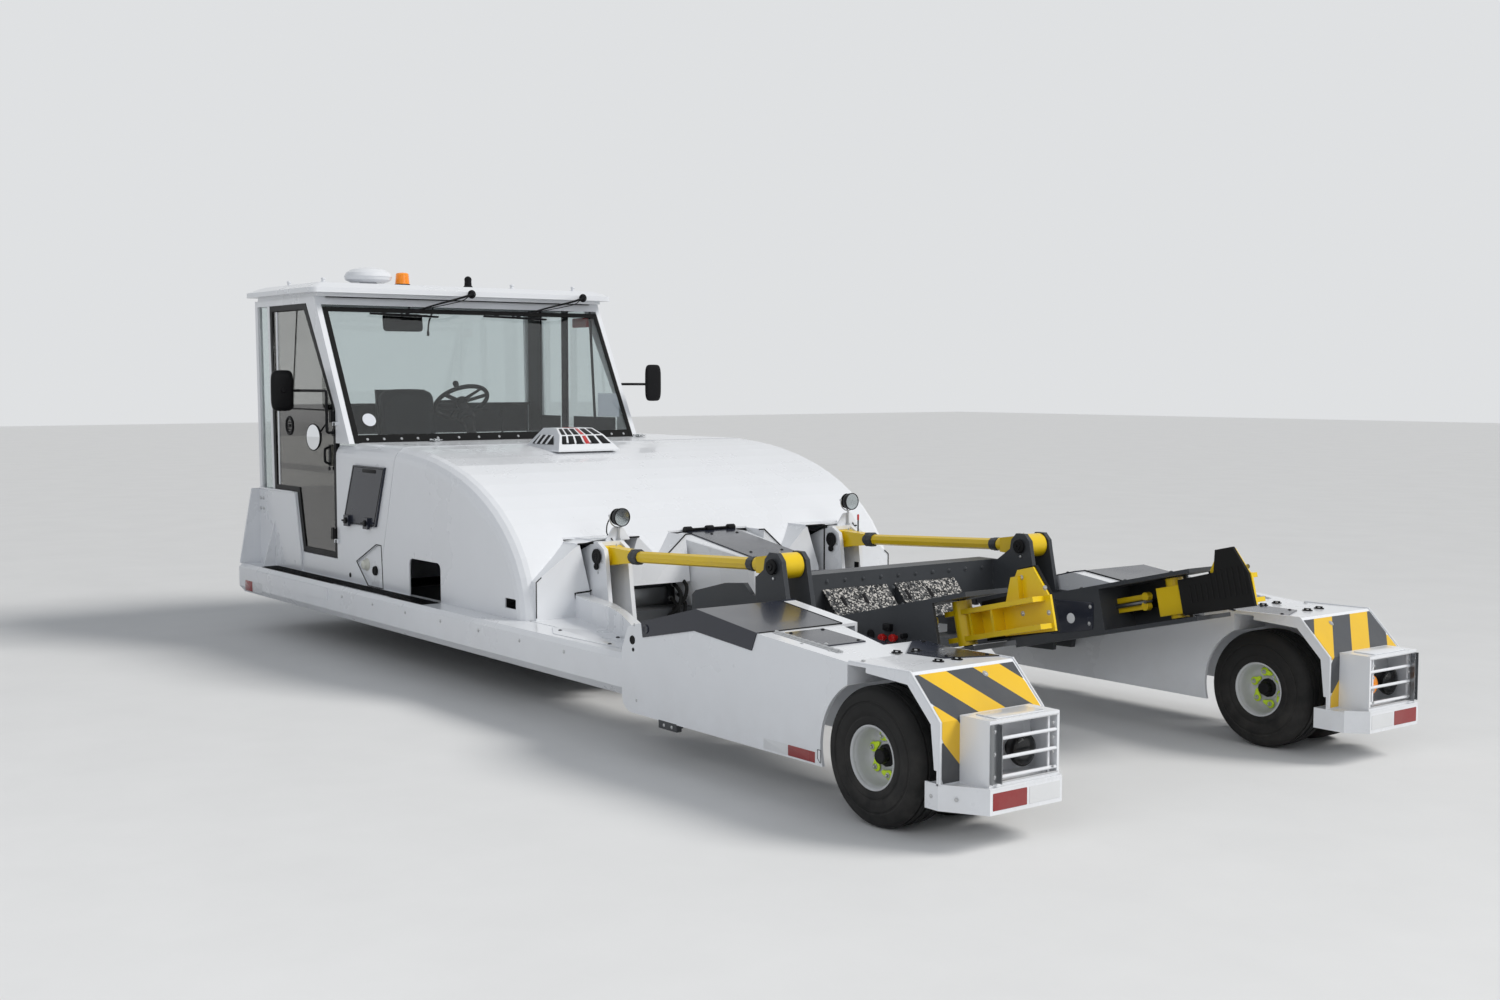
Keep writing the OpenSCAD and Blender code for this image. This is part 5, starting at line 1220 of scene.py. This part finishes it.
    def cowl(self):
        """Louvres: black plates of painted shade, pale slats, the red strip and the chromed bonnet catches."""
        side = (0, 0.81, 0.58)
        # thin black plates on the cowl's faces: painted shade for the dark inside of its openings
        shade_panes = [plate_on([(1055, 452, 1350), (1315, 452, 1350), (1285, 412, 1405), (1120, 412, 1405)], 3,
                          side, 8)]
        slats = [plate_on([(k, 453, 1350), (k + 18, 453, 1350), (k + 4, 413, 1404), (k - 14, 413, 1404)], 8,
                          side, 2)
                 for k in (1130, 1195, 1260)]
        slopes = (((960, 30, 1318, 440, 1.0227, 0.6818), 1353.5, 1402, (-0.699, 0, 0.715)),
                  ((1050, 90, 1406, 320, 2.1429, 0.7143), 1409.5, 1444, (-0.423, 0, 0.906)))

        def across(f0, f1, thick, r):
            """One plate on each slope between two fractions of its width, which shrinks on the way up."""
            plates = []
            for (x0, y0, foot, wide, dx, dy), low, high, n in slopes:
                at = lambda f, z: (x0 + (z - foot) * dx,
                                   y0 + (z - foot) * dy + f * (wide - (z - foot) * 2 * dy), z)
                corners = (at(f0, low), at(f1, low), at(f1, high), at(f0, high))
                plates.append(plate_on(np.array(corners) + 0.4 * np.array(n), thick, n, r))
            return plates

        for f0, f1 in ((0.05, 0.20), (0.25, 0.39), (0.55, 0.67), (0.71, 0.82), (0.86, 0.95)):
            shade_panes += across(f0, f1, 1.2, 5)
        piece("cowl_opening_shade_plates", shade_panes, "black_trim")
        piece("cowl_slats", slats, "white_paint")
        flat = [(x, y, 1448.4) for x, y in ((1142, 232), (1142, 253), (1285, 253), (1285, 232))]
        piece("cowl_strip", across(0.43, 0.51, 1.6, 2) + [plate_on(flat, 1.6, Z, 2)], "red_strip")
        catches = []
        for y in (790, -790):
            c = np.array((1985, y, 1348.5))
            hoop = [c + q for q in ((-40, -14, 12), (-75, -10, 16), (-75, 10, 16), (-40, 14, 12))]
            catches += [block(c + (-45, -30, 0), c + (45, 30, 4), 1.5),
                        block(c + (-30, -18, 4), c + (20, 18, 22), 5), tube(hoop, 3, 8),
                        lathe([(-34, 1), (-34, 6), (34, 6), (34, 1)], c + (18, 0, 14), Y, 12)]
        piece("bonnet_catches", catches, "chrome")


class TRACTOR_OT_inside(bpy.types.Operator):
    """Makes the padded seat, the wheel's fittings, dark lining, console, mirror and far window posts"""
    bl_idname = "tractor.inside"
    bl_label = "Cab inside"

    def execute(self, context):
        self.seat()
        self.lining()
        self.console()
        return {"FINISHED"}

    def pad(self, outline, r, y0, y1):
        """A cushion: the xz outline swept across y, its sections drawn in at both ends by a squashed circle.

        Section scale = 0.66 + 0.34 (1 - |s|^3)^(1/3) for s from -1 to 1.
        """
        q = np.asarray(round_corners(outline, r), float)
        mid = q.mean(0)
        stack = []
        for s in np.linspace(-0.995, 0.995, 25):
            pts = mid + (q - mid) * (0.66 + 0.34 * (1 - np.abs(s) ** 3.0) ** (1 / 3.0))
            stack.append(np.stack([pts[:, 0], np.full(len(q), (y0 + y1) / 2 + s * (y1 - y0) / 2), pts[:, 1]],
                                  1))
        return rings(stack)

    def seat(self):
        """Cushion and back start a little small, swell by cloth pressure, then get their welts."""
        base = [(2664, 1004), (3096, 1004), (3096, 1080), (3060, 1088), (2700, 1088), (2664, 1066)]
        back = [(3040, 1118), (3158, 1118), (3224, 1655), (3206, 1690), (3150, 1700), (3122, 1660)]
        seat = piece("seat_pads", [self.pad(base, 22, 205, 655), self.pad(back, 24, 222, 638)], "seat_vinyl",
                     covers=["seat_cushions"])
        self.puff(seat, 0.012)
        welts = [seam([(x, 225, 1097.5), (x, 430, 1100.5), (x, 635, 1097.5)], 3.5) for x in (2800, 2930)]
        for k in (0.25, 0.5, 0.75):
            x, z = 3040 + 84 * k, 1118 + 545 * k
            welts.append(seam([(x - 4, 245, z), (x - 8, 430, z), (x - 4, 615, z)], 3.5))
        piece("seat_welts", welts, "seat_vinyl")
        rest = [pipe([(2700, 178, 1050), (2820, 172, 1048), (3060, 172, 1048), (3110, 176, 1060)], 20, 12,
                     10),
                rod((2720, 165, 965), (2690, 130, 960), 10, 12)]
        piece("seat_trim", rest, "black_trim")

    def puff(self, obj, cap):
        """Remeshes the pads, blows them up as cloth for 20 frames, caps each point's move, subdivides once."""
        scene = bpy.context.scene
        bpy.context.view_layer.objects.active = obj
        mod = obj.modifiers.new("remesh", "REMESH")
        mod.mode, mod.voxel_size = "VOXEL", 0.008
        bpy.ops.object.modifier_apply(modifier=mod.name)
        start = np.empty(len(obj.data.vertices) * 3)
        obj.data.vertices.foreach_get("co", start)
        cloth = obj.modifiers.new("cloth", "CLOTH")
        cloth.settings.use_pressure = True
        cloth.settings.uniform_pressure_force = 4.0
        cloth.settings.effector_weights.gravity = 0.0
        cloth.settings.quality = 4
        for frame in range(1, 21):
            scene.frame_set(frame)
        done = obj.evaluated_get(bpy.context.evaluated_depsgraph_get()).data
        end = np.empty(len(done.vertices) * 3)
        done.vertices.foreach_get("co", end)
        obj.modifiers.remove(cloth)
        scene.frame_set(1)
        move = (end - start).reshape(-1, 3)
        far = np.linalg.norm(move, axis=1, keepdims=True)
        move *= np.minimum(1.0, cap / np.maximum(far, 1e-9))
        obj.data.vertices.foreach_set("co", (start.reshape(-1, 3) + move).ravel())
        obj.data.update()
        sub = obj.modifiers.new("finish", "SUBSURF")
        sub.levels = sub.render_levels = 1
        bpy.ops.object.modifier_apply(modifier=sub.name)
        obj.data.polygons.foreach_set("use_smooth", np.ones(len(obj.data.polygons), bool))
        obj.data.update()

    def lining(self):
        """Dark panels under the windows, far window posts, front shelf, painted-glow sheet, lamp and mirror.
        """
        dark = [block((3560, -790, 1352), (3580, 1262, 1575), 6),
                block((3500, -790, 1560), (3580, 1262, 1578), 6)]
        dark += [block((x0, -813, 1352), (x1, -806, 1480), 2) for x0, x1 in ((2330, 2900), (3100, 3440))]
        dark += [block((x0, -814, 1352), (x1, -795, 2285), 4) for x0, x1 in ((2985, 3055), (3380, 3560))]
        dark += [rod((2655, -800, 2262), (2590, -800, 1470), 10, 10),
                 block((2620, -780, 2296), (3600, 1250, 2300.5), 2)]
        piece("cab_lining", dark, "black_trim")
        # this sheet's paper glows with a weak emission: painted light, not a lamp
        piece("blank_sheet", [block((2300, -819.5, 1484), (2575, -818, 1652), 0.4)], "painted_glow_paper")
        piece("inside_lamp", [block((2660, -800, 2135), (2850, -770, 2205), 8)], "red_strip")
        mirror = [slab(oblong(145, 60, 28, 6), (2690, 669, 2142), Y, (0.12, 0, 0.99), 22, 4),
                  rod((2712, 600, 2297), (2698, 640, 2180), 7, 12),
                  pipe([(2720, 430, 2297), (2715, 440, 2220), (2705, 470, 2150), (2700, 480, 2085)], 20, 6,
                       10),
                  lathe([(0, 1), (0, 9), (30, 9), (32, 1)], (2700, 480, 2085), -Z, 14)]
        piece("inside_mirror", mirror, "black_trim")

    def console(self):
        """Column boot, spokes, spinner knob, stalks, dials, switches and a lever on the driver's console."""
        c, turn = np.array((2530, 320, 1600)), np.radians(35)
        ax, u = np.sin(turn) * X + np.cos(turn) * Z, np.cos(turn) * X - np.sin(turn) * Z
        around = lambda a: np.cos(a) * u + np.sin(a) * Y
        boot = [(-150, 1), (-150, 58), (-120, 60), (-112, 50), (-104, 56), (-96, 46), (-88, 52), (-80, 40),
                (-60, 36), (-60, 1)]
        black = [lathe(boot, c, ax, 28), lathe([(6.5, 1), (6.5, 44), (18, 40), (24, 26), (25, 1)], c, ax, 32)]
        for d in map(around, np.radians([90, 210, 330])):
            black.append(slab([(36, -17), (174, -11), (174, 11), (36, 17)], c + ax * 6, d, np.cross(ax, d),
                              -8))
        black.append(lathe([(12, 1), (12, 14), (30, 20), (48, 20), (58, 12), (60, 1)], c + 185 * around(2.6),
                           ax, 20))
        for n in (Y, -Y):
            black += [rod(c - ax * 70, c - ax * 62 + n * 165, 6.5, 10),
                      lathe([(-30, 1), (-30, 10), (0, 12), (12, 8), (13, 1)], c - ax * 62 + n * 170, n, 14)]
        faces = []
        for y in (620, 740, 860):
            q, up = (2310, y, 1335), (0.21, 0, 0.98)
            black.append(lathe([(0, 46), (10, 45), (12, 40), (4, 37), (-4, 37), (-4, 46)], q, up, 32,
                               closed=True))
            faces.append(lathe([(0, 1), (3, 37), (-3, 37), (-3, 1)], q, up, 28))
        black += [block((2290, y, 1330), (2335, y + 40, 1356), 4) for y in range(-360, 136, 62)]
        black += [pipe([(2560, -20, 1080), (2565, -20, 1300), (2560, -15, 1420), (2540, -10, 1500)], 20, 8,
                       10),
                  lathe([(-30, 1), (-30, 12), (0, 23), (25, 22), (38, 1)], (2540, -10, 1520), (-0.2, 0, 1),
                        20)]
        piece("console_fittings", black, "black_trim")
        piece("console_dials", faces, "blank_paper")


class TRACTOR_OT_front_wheels(bpy.types.Operator):
    """Makes the ribbed front tyres, their rims and nuts"""
    bl_idname = "tractor.front_wheels"
    bl_label = "Front wheels"

    def execute(self, context):
        low, high = box_mm("front_wheel_left")
        x, y, r = (low[0] + high[0]) / 2, (low[1] + high[1]) / 2, high[2] / 2
        w = (high[1] - low[1]) / 2
        half = [(w - 8, r - 156), (w - 3, r - 140), (w, r - 100), (w, r - 52), (w - 4, r - 36),
                (w - 18, r - 12), (w - 34, r - 4)]
        for c in (62, 21):
            half += [(c + 7, r), (c + 5, r - 9), (c - 5, r - 9), (c - 7, r)]
        profile = half + [(-a, b) for a, b in half[::-1]]
        rim = [(w - 6, r - 156), (w - 1, r - 158), (w - 2, r - 166), (w - 14, r - 172), (66, r - 182),
               (30, r - 200), (22, r - 214), (22, 98), (20, 90), (20, 80.5), (12, 80.5), (12, 100),
               (-20, r - 216), (-60, r - 190), (-w + 10, r - 172), (-w + 6, r - 156)]
        for name, side in SIDES:
            body = "front_wheel_" + name[0]
            c, axis = np.array((x, side * y, r)), side * Y
            piece("ribbed_tyre_" + name, [lathe(profile, c, axis, 96, closed=True)], "tyre_rubber", body,
                  covers=["front_wheel_" + name])
            piece("front_rim_" + name, [lathe(rim, c, axis, 72, closed=True)], "rim_grey", body)
            nuts = [dome_bolt(c + 108 * (np.cos(t) * X + np.sin(t) * Z) + axis * 21, axis, 13, 17)
                    for t in np.radians(np.arange(8) * 45.0 + 11.0)]
            piece("front_wheel_nuts_" + name, nuts, "zinc", body)
        return {"FINISHED"}


OPERATORS = (TRACTOR_OT_finishes, TRACTOR_OT_stage, TRACTOR_OT_rear_wheels, TRACTOR_OT_fenders,
             TRACTOR_OT_lamp_boxes, TRACTOR_OT_arms, TRACTOR_OT_uprights, TRACTOR_OT_links, TRACTOR_OT_cradle,
             TRACTOR_OT_cab, TRACTOR_OT_inside, TRACTOR_OT_front_wheels)


class TRACTOR_PT_panel(bpy.types.Panel):
    """Lists the steps that dress the tractor"""
    bl_label = "Pushback tractor"
    bl_space_type = "VIEW_3D"
    bl_region_type = "UI"
    bl_category = "Tractor"

    def draw(self, context):
        for step in OPERATORS:
            self.layout.operator(step.bl_idname)


CLASSES = (PaintSettings, SizeSettings) + OPERATORS + (TRACTOR_PT_panel,)


def register():
    """Registers the classes and hangs the settings on the scene."""
    for c in CLASSES:
        bpy.utils.register_class(c)
    bpy.types.Scene.tractor_paint = PointerProperty(type=PaintSettings)
    bpy.types.Scene.tractor_size = PointerProperty(type=SizeSettings)


def unregister():
    """Takes the settings and the classes away again."""
    del bpy.types.Scene.tractor_paint, bpy.types.Scene.tractor_size
    for c in reversed(CLASSES):
        bpy.utils.unregister_class(c)


def main():
    register()
    for step in OPERATORS:
        group_name, step_name = step.bl_idname.split(".")
        getattr(getattr(bpy.ops, group_name), step_name)()


if __name__ == "__main__":
    main()
